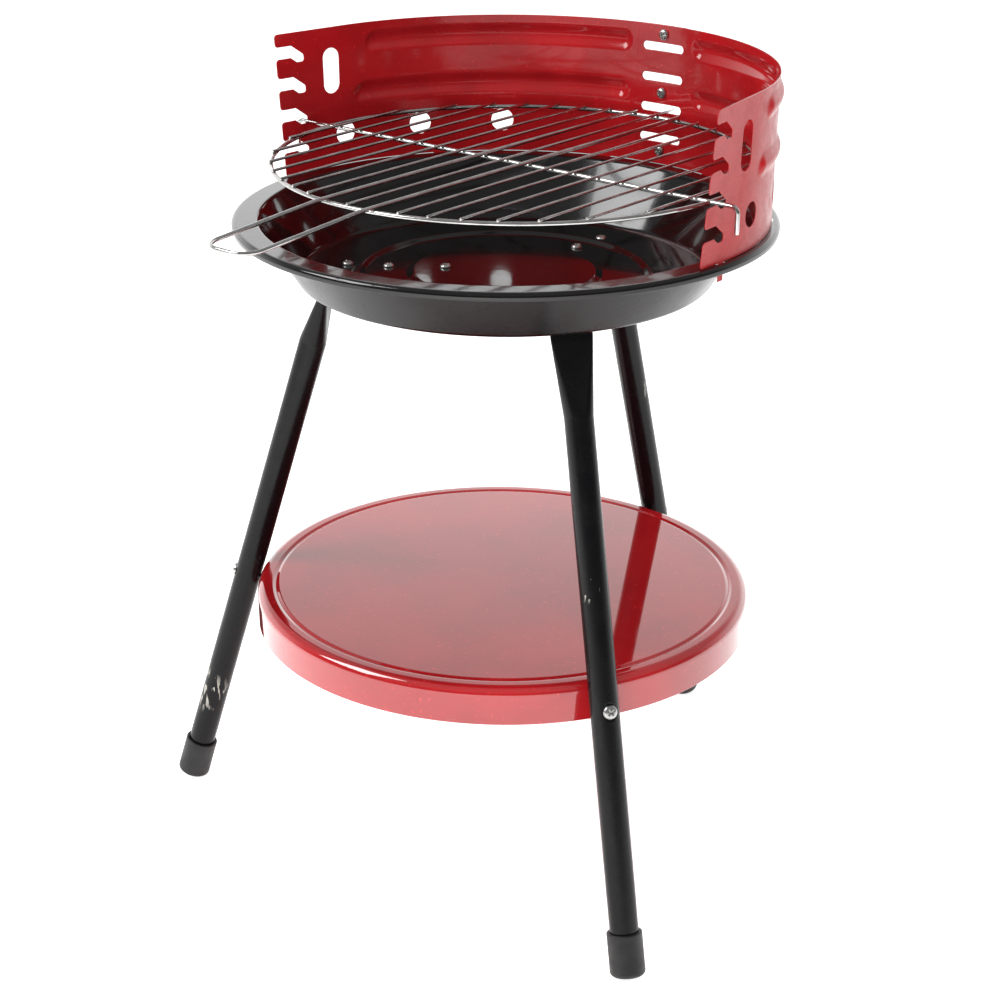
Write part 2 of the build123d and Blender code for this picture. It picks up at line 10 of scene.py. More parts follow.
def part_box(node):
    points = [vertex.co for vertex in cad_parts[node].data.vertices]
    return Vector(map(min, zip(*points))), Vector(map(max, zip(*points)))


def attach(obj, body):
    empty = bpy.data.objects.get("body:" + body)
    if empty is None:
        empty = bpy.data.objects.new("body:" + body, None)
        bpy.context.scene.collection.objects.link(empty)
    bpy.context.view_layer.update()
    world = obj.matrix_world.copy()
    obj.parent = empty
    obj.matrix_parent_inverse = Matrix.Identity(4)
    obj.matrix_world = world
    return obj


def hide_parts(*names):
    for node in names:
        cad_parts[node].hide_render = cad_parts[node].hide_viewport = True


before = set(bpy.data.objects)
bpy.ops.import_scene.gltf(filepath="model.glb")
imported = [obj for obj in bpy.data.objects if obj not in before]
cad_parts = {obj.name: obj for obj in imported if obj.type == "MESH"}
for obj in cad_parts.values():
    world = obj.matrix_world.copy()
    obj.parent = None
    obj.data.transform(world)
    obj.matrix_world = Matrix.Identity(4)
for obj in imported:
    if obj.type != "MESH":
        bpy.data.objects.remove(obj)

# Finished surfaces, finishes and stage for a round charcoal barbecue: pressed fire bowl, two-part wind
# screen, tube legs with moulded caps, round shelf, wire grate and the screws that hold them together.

bl_info = {
    "name": "Round Charcoal Barbecue",
    "version": (1, 0, 0),
    "blender": (4, 5, 0),
    "location": "View3D > Sidebar > Barbecue",
    "description": "Builds the finished surfaces of a round charcoal barbecue on its packed frame",
    "category": "Add Mesh",
}

MM = 0.001
LEGS = {"leg_front_right": -30.0, "leg_front_left": 210.0, "leg_rear": 90.0}
FACE_GAP = 0.05 * MM                    # between faces that are clamped together
LEFT_OUT = 0.85 * MM                    # the left half of the screen lies outside the right by this much
TAB_ANGLES = (15.0, 55.0)               # the screen's tabs, each way from the lap, in degrees
TAB_FRONT = -6 * MM                     # middle of the flat end's tab along Y
TAB_WIDTH, TAB_LENGTH = 10 * MM, 14 * MM
TAB_ROOM = MM                           # all round a tab in the flange
NOTCH_REACH, NOTCH_FLOOR = 27 * MM, 14.5 * MM   # from the front edge to a seat's end, and to its drop
SEAT_DEPTH, NOTCH_HEIGHT = 4 * MM, 9.5 * MM
SEAT_SLOPE = math.tan(math.radians(35))
BAR_WIRE, SEAT_GAP = 3.4 * MM, 0.1 * MM  # the crossbar, and its height above the floor of its seat
TOOTH_CORNER = 3 * MM
LEVEL_PITCH = 25 * MM
REAR_SLOT, FIRST_SLOT = (40 * MM, 7 * MM), 18 * MM   # a rear slot's size, and the top one's depth
SIDE_SLOT, SIDE_SLOT_BACK, SIDE_SLOT_LOW = (16 * MM, 37 * MM), 22 * MM, 35.3 * MM
VENT_ANGLES, VENT_HIGH = (40.0, 60.0, 80.0), 26.2 * MM
RIB_LOWS = (15.5 * MM, 56 * MM)         # the ribs' middles below the top edge
RIB_TURNS = (9.5, 77.0)                 # the ribs' ends, each way from the lap, in degrees
LAP_SCREW_LOWS = (7.6 * MM, 55.5 * MM, 103.5 * MM)
BEAD_WIDTH, DISC_SLOPE, RIM_LIP = 11 * MM, 5 * MM, 6 * MM
SCREW_SEAT = 0.9 * MM                   # flat pressed in a leg under its shelf screw
LEG_START, CAP_BOTTOM = 8 * MM, 6 * MM  # tube end above the floor, and the cap under it
LEG_BEND, LEG_TAB = 8 * MM, 54.3 * MM   # radius of the bend, and length of the pressed end
LEG_SCREW_INSETS = (44.3 * MM, 11.3 * MM)
FLOOR_SCREW = (46 * MM, 215.0)          # radius and angle of the single screw in the raised disc
HANDLE_BENDS = (30 * MM, 15 * MM, 15 * MM, 30 * MM)
HANDLE_DROP_START, HOOK_BEND = 8 * MM, 5 * MM
BOWL_LOW, BOWL_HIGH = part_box("fire_bowl")
SCREEN_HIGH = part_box("wind_screen_right")[1]
SHELF_LOW, SHELF_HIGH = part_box("shelf_tray")
RING_LOW, RING_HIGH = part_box("grate_ring")
RODS_LOW, RODS_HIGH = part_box("grate_rods")
HANDLE_LOW, HANDLE_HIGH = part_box("grate_handle")
BAR_LOW, BAR_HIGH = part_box("grate_crossbar")


# ---- sizes and colours that a user may change ----------------------------------------------
def length(name, value, description):
    """A length in metres with its name and description."""
    return bpy.props.FloatProperty(name=name, description=description, default=value, unit="LENGTH",
                                   precision=4)


def angle(name, degrees, description):
    """An angle, given in degrees."""
    return bpy.props.FloatProperty(name=name, description=description, default=math.radians(degrees),
                                   subtype="ANGLE")


def colour(name, value, description):
    """A linear colour."""
    return bpy.props.FloatVectorProperty(name=name, description=description, default=value, subtype="COLOR",
                                         size=3, min=0.0, max=1.0)


class BBQ_BowlSizes(bpy.types.PropertyGroup):
    sheet: length("Sheet", 0.8 * MM, "Thickness of the pressed steel")
    rim_radius: length("Rim radius", BOWL_HIGH.x, "Outer radius of the turned-down edge")
    rim_top: length("Rim height", BOWL_HIGH.z, "Height of the flange above the floor")
    underside: length("Underside", BOWL_LOW.z, "Height of the bowl's floor from below")
    flange: length("Flange", 20 * MM, "Width of the flat flange")
    taper: length("Taper", 50 * MM, "How much smaller than the rim the floor's radius is")
    disc_radius: length("Disc radius", 76 * MM, "Raised middle of the floor")
    disc_height: length("Disc height", 3 * MM, "How far the middle of the floor is raised")
    bead_radius: length("Bead radius", 114 * MM, "Middle of the raised ring in the floor")
    bead_height: length("Bead height", 2.5 * MM, "How far the ring in the floor is raised")


class BBQ_ScreenSizes(bpy.types.PropertyGroup):
    inset: length("Inset", 7.4 * MM, "From the rim's edge in to the right half's inner face")
    flare: length("Flare", 1.0 * MM, "How much wider the screen is at its top edge")
    height: length("Height", 114.5 * MM, "From the flange to the top edge")
    lap: angle("Lap", 6.9, "How far each half runs past the middle of the back")
    end_turn: angle("End turn", 10.0, "How far round the flat end starts at the top edge")
    end_front: length("End reach", 32 * MM, "How far the flat ends reach in front of the bowl's axis")
    vent: length("Vent", 18.5 * MM, "Diameter of a vent hole")
    rib_height: length("Rib height", 14 * MM, "Height of a pressed rib")
    rib_depth: length("Rib depth", 3 * MM, "How far a pressed rib stands out")


class BBQ_LegSizes(bpy.types.PropertyGroup):
    tube: length("Tube", 22 * MM, "Diameter of the leg tube")
    foot_radius: length("Stance", 275 * MM, "Where a leg's axis meets the floor")
    top_radius: length("Bend radius", 136.3 * MM, "Where a leg's axis meets its pressed end")
    pressed: length("Pressed end", 2.4 * MM, "Thickness of the tube's pressed end")
    flare: length("Press length", 58 * MM, "From the round tube to its pressed end")
    dent: length("Press hollow", 1.5 * MM, "How hollow the press leaves the flare's face")
    cap_height: length("Cap height", 34 * MM, "Height of a foot cap along the leg")
    cap_wall: length("Cap wall", 2.5 * MM, "Wall of a foot cap")


class BBQ_ShelfSizes(bpy.types.PropertyGroup):
    edge: length("Edge", 7 * MM, "Outer radius of the rounded edge")
    groove_inset: length("Line inset", 15 * MM, "From the edge in to the pressed line")
    groove_depth: length("Line depth", 1.2 * MM, "Depth of the pressed line")


class BBQ_GrateSizes(bpy.types.PropertyGroup):
    pitch: length("Rod pitch", 21.6 * MM, "From one wire to the next")
    rods: bpy.props.IntProperty(name="Steps a side", description="Wire steps on each side of the middle rod",
                                default=8, min=2, max=12)
    past_ring: length("Past the ring", 1.6 * MM, "How far a rod's end passes the ring's centre line")
    weld: length("Weld", 1.9 * MM, "Half the length of a weld's bead")


class BBQ_Colours(bpy.types.PropertyGroup):
    red: colour("Red enamel", (0.38, 0.009, 0.012), "Wind screen and shelf")
    black: colour("Black enamel", (0.003, 0.0025, 0.0025), "Fire bowl")
    paint: colour("Leg paint", (0.003, 0.003, 0.0035), "Leg tubes")
    plastic: colour("Plastic", (0.004, 0.004, 0.004), "Foot caps")
    chrome: colour("Chrome", (0.62, 0.61, 0.60), "Grate wires")
    zinc: colour("Zinc", (0.60, 0.60, 0.58), "Screws and nuts")


# ---- lines ---------------------------------------------------------------------------------
def unit(rows):
    """Each vector divided by its length."""
    return rows / np.linalg.norm(rows, axis=-1, keepdims=True)


def rounded_line(corners, radii, turn=math.radians(9)):
    """A line through the corners whose inner corners are arcs.

    The arc's centre lies on the corner's bisector at radius / sin(half opening), and its points are
    the centre plus a spoke that turns evenly from one tangent point to the other.
    """
    corners = np.asarray(corners, float)
    parts = [corners[:1]]
    for here, before, after, radius in zip(corners[1:-1], corners[:-2], corners[2:], radii):
        back, ahead = unit(before - here), unit(after - here)
        half = math.acos(float(np.clip(back @ ahead, -1, 1))) / 2
        bend = math.pi - 2 * half
        if radius <= 0 or bend < 1e-4:
            parts.append(here[None])
            continue
        centre = here + unit(back + ahead) * radius / math.sin(half)
        first = here + back * radius / math.tan(half) - centre
        last = here + ahead * radius / math.tan(half) - centre
        share = np.linspace(0, 1, max(3, math.ceil(bend / turn) + 1))[:, None]
        spokes = (np.sin((1 - share) * bend) * first + np.sin(share * bend) * last) / math.sin(bend)
        parts.append(centre + spokes)
    parts.append(corners[-1:])
    return np.concatenate(parts)


def lengths(line):
    """Distance of each point along the line."""
    return np.concatenate([[0], np.cumsum(np.linalg.norm(np.diff(line, axis=0), axis=1))])


def points_at(line, where):
    """Points of the line at the given distances along it."""
    return np.stack([np.interp(where, lengths(line), line[:, k]) for k in range(line.shape[1])], 1)


def spaced(line, step=None, hold=None):
    """The same line with more points on its long runs: at most step apart, and one hold from each end."""
    at = lengths(line)
    first, last = at[:-1], at[1:]
    stops = [at]
    if hold:
        long = last - first > 3 * hold
        stops += [first[long] + hold, last[long] - hold]
    if step:
        stops += [np.linspace(a, b, math.ceil((b - a) / step) + 1)
                  for a, b in zip(first, last) if b - a > step]
    return points_at(line, np.unique(np.round(np.concatenate(stops), 9)))


def left_normals(line):
    """Unit normals to the left of a plane line, halfway between those of the two runs at each point."""
    run = unit(np.diff(line, axis=0))
    mean = unit(np.concatenate([run[:1], run]) + np.concatenate([run, run[-1:]]))
    return np.stack([-mean[:, 1], mean[:, 0]], 1)


def sheet_outline(line, thickness):
    """Outline of a sheet whose middle is the line: its left face, a half-round edge, and its right face."""
    side = left_normals(line)
    ahead = unit(line[-1] - line[-2])
    swing = np.radians([60, 30, 0, -30, -60])[:, None]
    edge = line[-1] + (np.cos(swing) * ahead + np.sin(swing) * side[-1]) * thickness / 2
    half = side * thickness / 2
    return np.concatenate([line + half, edge, (line - half)[::-1]])


# ---- surfaces ------------------------------------------------------------------------------
def grid_faces(rows, columns, wrap_rows=False, wrap_columns=False):
    """Quads between neighbouring rows and columns of a grid whose points are numbered row by row."""
    i, j = np.meshgrid(np.arange(rows if wrap_rows else rows - 1),
                       np.arange(columns if wrap_columns else columns - 1), indexing="ij")
    i2, j2 = (i + 1) % rows, (j + 1) % columns
    return np.stack([i * columns + j, i * columns + j2, i2 * columns + j2, i2 * columns + j], -1)


def turned(outline, angles):
    """An outline of radius and height carried round Z: (r cos a, r sin a, z)."""
    radius, height = outline[:, :1], outline[:, 1:2]
    return np.stack([radius * np.cos(angles), radius * np.sin(angles), height + 0 * angles], -1)


def placed(points, origin, axis, across=(0, 1, 0)):
    """Points moved so that their Z runs along the axis from the origin and their Y is near across."""
    z = unit(np.asarray(axis, float))
    x = unit(np.cross(np.asarray(across, float), z))
    return np.asarray(origin, float) + points @ np.stack([x, np.cross(z, x), z])


def wire(path, radius, across, closed=False, columns=20, edge=0.3 * MM):
    """A circle carried along a path: point + radius (cos a side + sin a up), where side is square to the
    path and to the across vector. Open ends are closed on the axis past a small rounded edge."""
    path = np.asarray(path, float)
    if closed:
        ahead = np.roll(path, -1, 0) - np.roll(path, 1, 0)
    else:
        ahead = np.gradient(path, axis=0)
    ahead = unit(ahead)
    side = unit(np.cross(ahead, np.asarray(across, float)))
    up = np.cross(side, ahead)
    around = np.linspace(0, 2 * math.pi, columns, endpoint=False)[None, :, None]
    size = np.full(len(path), radius)
    if not closed:
        pull = np.array([0.0, 0.0, 0.35, 1.0]) * edge
        small = np.array([0.0, radius - edge, radius - 0.35 * edge, radius])
        first, last = path[0] + ahead[0] * pull[:, None], path[-1] - ahead[-1] * pull[::-1, None]
        path = np.concatenate([first, path[1:-1], last])
        size = np.concatenate([small, size[1:-1], small[::-1]])
        side = np.concatenate([side[:1].repeat(4, 0), side[1:-1], side[-1:].repeat(4, 0)])
        up = np.concatenate([up[:1].repeat(4, 0), up[1:-1], up[-1:].repeat(4, 0)])
    ring = np.cos(around) * side[:, None] + np.sin(around) * up[:, None]
    points = path[:, None] + ring * size[:, None, None]
    return points, grid_faces(len(path), columns, closed, True)


def joined(pieces):
    """Several pieces of points and faces as one list of points and one of faces."""
    points, faces, start = [], [], 0
    for piece_points, piece_faces in pieces:
        flat = np.asarray(piece_points).reshape(-1, 3)
        points.append(flat)
        faces.append(np.asarray(piece_faces).reshape(-1, 4) + start)
        start += len(flat)
    return np.concatenate(points), np.concatenate(faces)


def put(name, points, faces, materials, body, stands_for, marks=None, normals=None, sharp=40.0):
    """Makes the mesh object: closes its seams and poles, turns its faces outwards and shades it smooth."""
    mesh = bpy.data.meshes.new(name)
    mesh.from_pydata(np.asarray(points).reshape(-1, 3).tolist(), [], faces)
    for material in materials:
        mesh.materials.append(material)
    if marks is not None:
        mesh.polygons.foreach_set("material_index", np.asarray(marks, np.int32))
    if normals is None:
        shell = bmesh.new()
        shell.from_mesh(mesh)
        bmesh.ops.remove_doubles(shell, verts=shell.verts, dist=0.002 * MM)
        bmesh.ops.recalc_face_normals(shell, faces=shell.faces)
        shell.to_mesh(mesh)
        shell.free()
    mesh.shade_smooth()
    if normals is None:
        mesh.set_sharp_from_angle(angle=math.radians(sharp))
    else:
        mesh.normals_split_custom_set_from_vertices(normals.tolist())
    mesh.update()
    if mesh.validate():
        raise RuntimeError(f"{name}: the mesh needed repair")
    piece = bpy.data.objects.new(name, mesh)
    bpy.context.scene.collection.objects.link(piece)
    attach(piece, body)
    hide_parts(*stands_for)
    return piece


# ---- shader groups -------------------------------------------------------------------------
def add(tree, kind, at=(0, 0), **values):
    """A node of that kind; a value named after an input sets it, and any other sets the node's property."""
    made = tree.nodes.new(kind)
    made.location = at
    for key, value in values.items():
        if key in made.inputs:
            made.inputs[key].default_value = value
        else:
            setattr(made, key, value)
    return made


def group(name, inputs, outputs):
    """An empty shader group with float or vector sockets, and its input and output nodes."""
    tree = bpy.data.node_groups.new(name, "ShaderNodeTree")
    for label, kind, default in inputs:
        socket = tree.interface.new_socket(label, in_out="INPUT", socket_type=kind)
        socket.default_value = default
    for label, kind in outputs:
        tree.interface.new_socket(label, in_out="OUTPUT", socket_type=kind)
    return tree, tree.nodes.new("NodeGroupInput"), tree.nodes.new("NodeGroupOutput")


def scaled_noise(tree, at, scale_socket, times, detail):
    """Noise on object coordinates whose scale is the group's scale times a factor."""
    where = add(tree, "ShaderNodeTexCoord", at)
    factor = add(tree, "ShaderNodeMath", (at[0] + 160, at[1] - 120), operation="MULTIPLY")
    factor.inputs[1].default_value = times
    tree.links.new(scale_socket, factor.inputs[0])
    noise = add(tree, "ShaderNodeTexNoise", (at[0] + 340, at[1]), Detail=detail)
    tree.links.new(where.outputs["Object"], noise.inputs["Vector"])
    tree.links.new(factor.outputs[0], noise.inputs["Scale"])
    return noise.outputs["Fac"]


def window(tree, at, source, low, high):
    """A value that rises smoothly from 0 at low to 1 at high."""
    ramp = add(tree, "ShaderNodeMapRange", at, interpolation_type="SMOOTHSTEP")
    ramp.inputs["From Min"].default_value = low
    ramp.inputs["From Max"].default_value = high
    tree.links.new(source, ramp.inputs["Value"])
    return ramp.outputs["Result"]


def math_node(tree, at, operation, first, second):
    """One arithmetic step between two sockets or numbers."""
    step = add(tree, "ShaderNodeMath", at, operation=operation)
    for slot, value in zip(step.inputs, (first, second)):
        if isinstance(value, (int, float)):
            slot.default_value = value
        else:
            tree.links.new(value, slot)
    return step.outputs[0]


def skin_group():
    """Fired or sprayed coat: long soft waves, fine pores, cloudy tone and rare specks."""
    results = [(name, "NodeSocketFloat") for name in ("Height", "Cloud", "Specks")]
    tree, given, out = group("coat_skin", [("Scale", "NodeSocketFloat", 150.0)], results)
    scale = given.outputs["Scale"]
    wave = scaled_noise(tree, (0, 0), scale, 1.0, 1.0)
    pore = scaled_noise(tree, (0, -300), scale, 6.0, 2.0)
    cloud = scaled_noise(tree, (0, -600), scale, 0.12, 3.0)
    speck = scaled_noise(tree, (0, -900), scale, 3.1, 0.0)
    fine = math_node(tree, (600, -300), "MULTIPLY", pore, 0.18)
    height = math_node(tree, (760, 0), "ADD", wave, fine)
    tree.links.new(height, out.inputs["Height"])
    tree.links.new(window(tree, (600, -600), cloud, 0.35, 0.68), out.inputs["Cloud"])
    tree.links.new(window(tree, (600, -900), speck, 0.76, 0.80), out.inputs["Specks"])
    return tree


def rub_group():
    """Rubbed patch: streaks along the leg, shown only inside a soft ball round the given place."""
    values = [("Place", "NodeSocketVector", (0, 0, 0)), ("Reach", "NodeSocketFloat", 0.02),
              ("Streaks", "NodeSocketFloat", 260.0), ("Cover", "NodeSocketFloat", 0.56)]
    tree, given, out = group("rubbed_patch", values, [("Mask", "NodeSocketFloat")])
    where = add(tree, "ShaderNodeTexCoord", (0, 0))
    gap = add(tree, "ShaderNodeVectorMath", (200, -100), operation="DISTANCE")
    tree.links.new(where.outputs["Object"], gap.inputs[0])
    tree.links.new(given.outputs["Place"], gap.inputs[1])
    near = math_node(tree, (400, -100), "DIVIDE", gap.outputs["Value"], given.outputs["Reach"])
    inside = math_node(tree, (560, -100), "SUBTRACT", 1.0, near)
    inside = window(tree, (720, -100), inside, 0.0, 0.6)
    stretch = add(tree, "ShaderNodeMapping", (200, 200), vector_type="TEXTURE")
    stretch.inputs["Scale"].default_value = (1.0, 1.0, 5.0)
    tree.links.new(where.outputs["Object"], stretch.inputs["Vector"])
    noise = add(tree, "ShaderNodeTexNoise", (400, 200), Detail=3.0)
    tree.links.new(stretch.outputs[0], noise.inputs["Vector"])
    tree.links.new(given.outputs["Streaks"], noise.inputs["Scale"])
    over = math_node(tree, (600, 200), "SUBTRACT", noise.outputs["Fac"], given.outputs["Cover"])
    mark = window(tree, (760, 200), over, 0.0, 0.03)
    tree.links.new(math_node(tree, (920, 0), "MULTIPLY", mark, inside), out.inputs["Mask"])
    return tree


def shared(name, maker):
    """A shader group, built the first time that it is asked for."""
    return bpy.data.node_groups.get(name) or maker()


def finish(name, rgb, roughness, metallic=0.0, coat=0.0, specular=0.5):
    """A material with a Principled shader whose even values are set on its own sockets."""
    material = bpy.data.materials.new(name)
    material.use_nodes = True
    tree = material.node_tree
    tree.nodes.clear()
    shader = add(tree, "ShaderNodeBsdfPrincipled", (900, 0), Roughness=roughness, Metallic=metallic)
    shader.inputs["Base Color"].default_value = (*rgb, 1)
    shader.inputs["Coat Weight"].default_value = coat
    shader.inputs["Coat Roughness"].default_value = 0.03
    shader.inputs["Specular IOR Level"].default_value = specular
    out = add(tree, "ShaderNodeOutputMaterial", (1200, 0))
    tree.links.new(shader.outputs[0], out.inputs["Surface"])
    return material, tree, shader


def tone(tree, at, factor, first, second):
    """A colour between two, by a mask."""
    mix = add(tree, "ShaderNodeMix", at, data_type="RGBA")
    mix.inputs[6].default_value = (*first, 1)
    mix.inputs[7].default_value = (*second, 1)
    tree.links.new(factor, mix.inputs[0])
    return mix


def bump(tree, at, height, distance):
    """A bump of a real depth in metres."""
    made = add(tree, "ShaderNodeBump", at, Strength=1.0, Distance=distance)
    tree.links.new(height, made.inputs["Height"])
    return made


def skinned(name, rgb, rough, scale, wave, shade, fleck, **values):
    """A finish whose tone, specks, roughness and small waves all come from the shared skin."""
    material, tree, shader = finish(name, rgb, rough[0], **values)
    skin = add(tree, "ShaderNodeGroup", (0, 0), node_tree=shared("coat_skin", skin_group))
    skin.inputs["Scale"].default_value = scale
    cloud = tone(tree, (300, 200), skin.outputs["Cloud"], rgb, [c * shade for c in rgb])
    speck = tone(tree, (500, 200), skin.outputs["Specks"], rgb, fleck)
    tree.links.new(cloud.outputs[2], speck.inputs[6])
    tree.links.new(speck.outputs[2], shader.inputs["Base Color"])
    drift = add(tree, "ShaderNodeMapRange", (500, -100))
    drift.inputs["To Min"].default_value, drift.inputs["To Max"].default_value = rough
    tree.links.new(skin.outputs["Cloud"], drift.inputs["Value"])
    tree.links.new(drift.outputs[0], shader.inputs["Roughness"])
    tree.links.new(bump(tree, (700, -300), skin.outputs["Height"], wave).outputs[0], shader.inputs["Normal"])
    return material


def coated(name, rgb, scale, wave, rough, coat=0.0, shade=0.8, pale=1.25, specular=0.5):
    """Enamel, paint or plastic, with specks a little paler than its colour."""
    fleck = [min(1.0, c * pale + 0.004) for c in rgb]
    return skinned(name, rgb, rough, scale, wave, shade, fleck, coat=coat, specular=specular)


def metal(name, rgb, rough, scale, stain, grain):
    """Plated metal, with small dull stains and a fine grain."""
    return skinned(name, rgb, rough, scale, grain, 0.72, stain, metallic=1.0)


# ---- fire bowl -----------------------------------------------------------------------------
def tab_windows():
    """Flange slots of the screen's tabs: their inner and outer radius and their first and last angle."""
    bowl, screen = bpy.context.scene.bbq_bowl, bpy.context.scene.bbq_screen
    found = []
    for side in (-1, 1):
        middle = bowl.rim_radius - screen.inset + bowl.sheet / 2 + (LEFT_OUT if side < 0 else 0)
        reach = bowl.sheet / 2 + TAB_ROOM
        half = math.asin((TAB_WIDTH / 2 + TAB_ROOM) / middle)
        front = math.pi / 2 * (1 - side) + side * math.asin(TAB_FRONT / middle)
        for centre in [math.pi / 2 - side * math.radians(a) for a in TAB_ANGLES] + [front]:
            found.append((middle - reach, middle + reach, centre - half, centre + half))
    return found


def bowl_surface():
    """The bowl's outline turned about Z, with a slot through the flange for each tab of the screen."""
    s = bpy.context.scene.bbq_bowl
    half = s.sheet / 2
    floor, flange, edge = s.underside + half, s.rim_top - half, s.rim_radius - half
    disc, raised = s.disc_radius, floor + s.disc_height
    bead_in, bead_out = s.bead_radius - BEAD_WIDTH / 2, s.bead_radius + BEAD_WIDTH / 2
    side, bead = BEAD_WIDTH / 3, floor + s.bead_height
    slots = tab_windows()
    cuts = sorted({round(r, 7) for slot in slots for r in slot[:2]})
    corners = [(0, raised), (disc - DISC_SLOPE, raised), (disc, floor), (bead_in, floor),
               (bead_in + side, bead), (bead_out - side, bead), (bead_out, floor),
               (s.rim_radius - s.taper - half, floor),
               (s.rim_radius - s.flange, flange), *[(r, flange) for r in cuts], (edge, flange),
               (edge, s.rim_top - RIM_LIP + half)]
    radii = [2 * MM] * 2 + [1.2 * MM] * 4 + [6 * MM, 3 * MM] + [0] * len(cuts) + [3 * MM]
    line = spaced(rounded_line(corners, radii), hold=0.8 * MM)
    outline = sheet_outline(line, s.sheet)
    angles = np.concatenate([np.linspace(0, 2 * math.pi, 320, endpoint=False),
                             *[np.mod(slot[2:], 2 * math.pi) for slot in slots]])
    angles = np.unique(np.round(angles, 7))
    rows, columns = len(outline), len(angles)
    faces = grid_faces(rows, columns, False, True)
    keep = np.ones(faces.shape[:2], bool)
    marks = np.broadcast_to(np.arange(rows - 1)[:, None] >= len(line) + 2, keep.shape)
    walls = []
    on_flange = np.abs(line[:, 1] - flange) < 1e-7
    for inner, outer, first, last in slots:
        k = np.flatnonzero(on_flange & (line[:, 0] > inner - 1e-6) & (line[:, 0] < outer + 1e-6))
        c0 = int(np.argmin(np.abs(angles - first % (2 * math.pi))))
        c1 = int(np.argmin(np.abs(angles - last % (2 * math.pi))))
        span = (c0 + np.arange((c1 - c0) % columns + 1)) % columns
        under = rows - 1 - k
        keep[np.ix_(k[:-1], span[:-1])] = False
        keep[np.ix_(under[1:], span[:-1])] = False
        for top_row, low_row in ((k[0], under[0]), (k[-1], under[-1])):
            top, low = top_row * columns + span, low_row * columns + span
            walls.append(np.stack([top[:-1], top[1:], low[1:], low[:-1]], 1))
        for column in (span[0], span[-1]):
            top, low = k * columns + column, under * columns + column
            walls.append(np.stack([top[:-1], top[1:], low[1:], low[:-1]], 1))
    walls = np.concatenate(walls)
    marks = np.concatenate([marks[keep], np.ones(len(walls), bool)])
    return turned(outline, angles), np.concatenate([faces[keep], walls]), marks


class BBQ_OT_fire_bowl(bpy.types.Operator):
    """Pressed and enamelled fire bowl"""
    bl_idname = "bbq.fire_bowl"
    bl_label = "Fire bowl"

    def execute(self, context):
        rgb = context.scene.bbq_colours.black
        inside = coated("black_enamel_inside", rgb, 110.0, 0.05 * MM, (0.07, 0.16), coat=0.3, specular=0.4)
        outside = coated("black_enamel_outside", rgb, 240.0, 0.05 * MM, (0.2, 0.3), specular=0.3)
        points, faces, marks = bowl_surface()
        put("bowl_shell", points, faces.tolist(), [inside, outside], "barbecue", ["fire_bowl"],
            marks)
        return {"FINISHED"}


# ---- wind screen ---------------------------------------------------------------------------
def screen_place(q, z, offset):
    """Inner face of the left half. q runs from the lap round an arc and then along the flat end.

    The face is ruled between two lines of the same make: at the flange an arc of the lower radius up to
    the X axis and a straight end square to it, and at the top an arc of the upper radius that stops short
    of the X axis by the end's turn, with its straight end tangent to it. A point is the mean of the two
    by height.
    """
    bowl, s = bpy.context.scene.bbq_bowl, bpy.context.scene.bbq_screen
    low = bowl.rim_radius - s.inset + offset
    high = low + s.flare
    arc, end = screen_runs()
    t = np.clip((z - SCREEN_HIGH.z + s.height) / s.height, 0, None)
    u, v = np.clip(q / arc, 0, 1), np.clip((q - arc) / end, 0, 1)
    start = math.pi / 2 - s.lap
    x = y = 0
    for radius, turn, share in ((low, 0.0, 1 - t), (high, s.end_turn, t)):
        a = start + (math.pi - turn - start) * u
        x0, y0 = radius * math.cos(math.pi - turn), radius * math.sin(math.pi - turn)
        x = x + share * (radius * np.cos(a) - v * (y0 + s.end_front) * math.tan(turn))
        y = y + share * (radius * np.sin(a) - v * (y0 + s.end_front))
    return np.stack([x, y, z + 0 * x], -1)


def screen_runs():
    """Mean lengths of the arc and of the flat end."""
    bowl, s = bpy.context.scene.bbq_bowl, bpy.context.scene.bbq_screen
    radius = bowl.rim_radius - s.inset
    return radius * (math.pi / 2 + s.lap - s.end_turn / 2), s.end_front + radius * s.end_turn / 2


def q_where(measure, target, z, low, high):
    """q at which a falling measure of the point meets its target, found by halving the span."""
    low, high = np.full(z.shape, low), np.full(z.shape, high)
    for _ in range(40):
        middle = (low + high) / 2
        above = measure(screen_place(middle, z, 0.0)) > target
        low, high = np.where(above, middle, low), np.where(above, high, middle)
    return (low + high) / 2


def rib_rise(q, z, centres, q0, q1):
    """Height of the pressed ribs: a bell, (1 - (distance to the rib's middle line / its reach) squared)
    squared. The middle line stops half a rib short of each end, so that the ends are round."""
    s = bpy.context.scene.bbq_screen
    half = s.rib_height / 2
    rise = 0
    for centre in centres:
        past = np.maximum(np.maximum(q0 + half - q, q - q1 + half), 0)
        share = np.clip(1 - (past ** 2 + (z - centre) ** 2) / (1.35 * half) ** 2, 0, 1)
        rise = rise + s.rib_depth * share ** 2
    return rise


def stadium(width, height, step=1.2 * MM):
    """Outline of a slot with round ends, centred on 0, clockwise."""
    r = min(width, height) / 2
    dx, dz = max(width / 2 - r, 0), max(height / 2 - r, 0)
    a = np.linspace(0, -2 * math.pi, max(24, int(2 * math.pi * r / step)), endpoint=False)
    c, d = np.cos(a), np.sin(a)
    points = np.stack([r * c + np.where(c >= 0, dx, -dx), r * d + np.where(d >= 0, dz, -dz)], 1)
    return spaced(np.concatenate([points, points[:1]]), step=2 * step)[:-1]


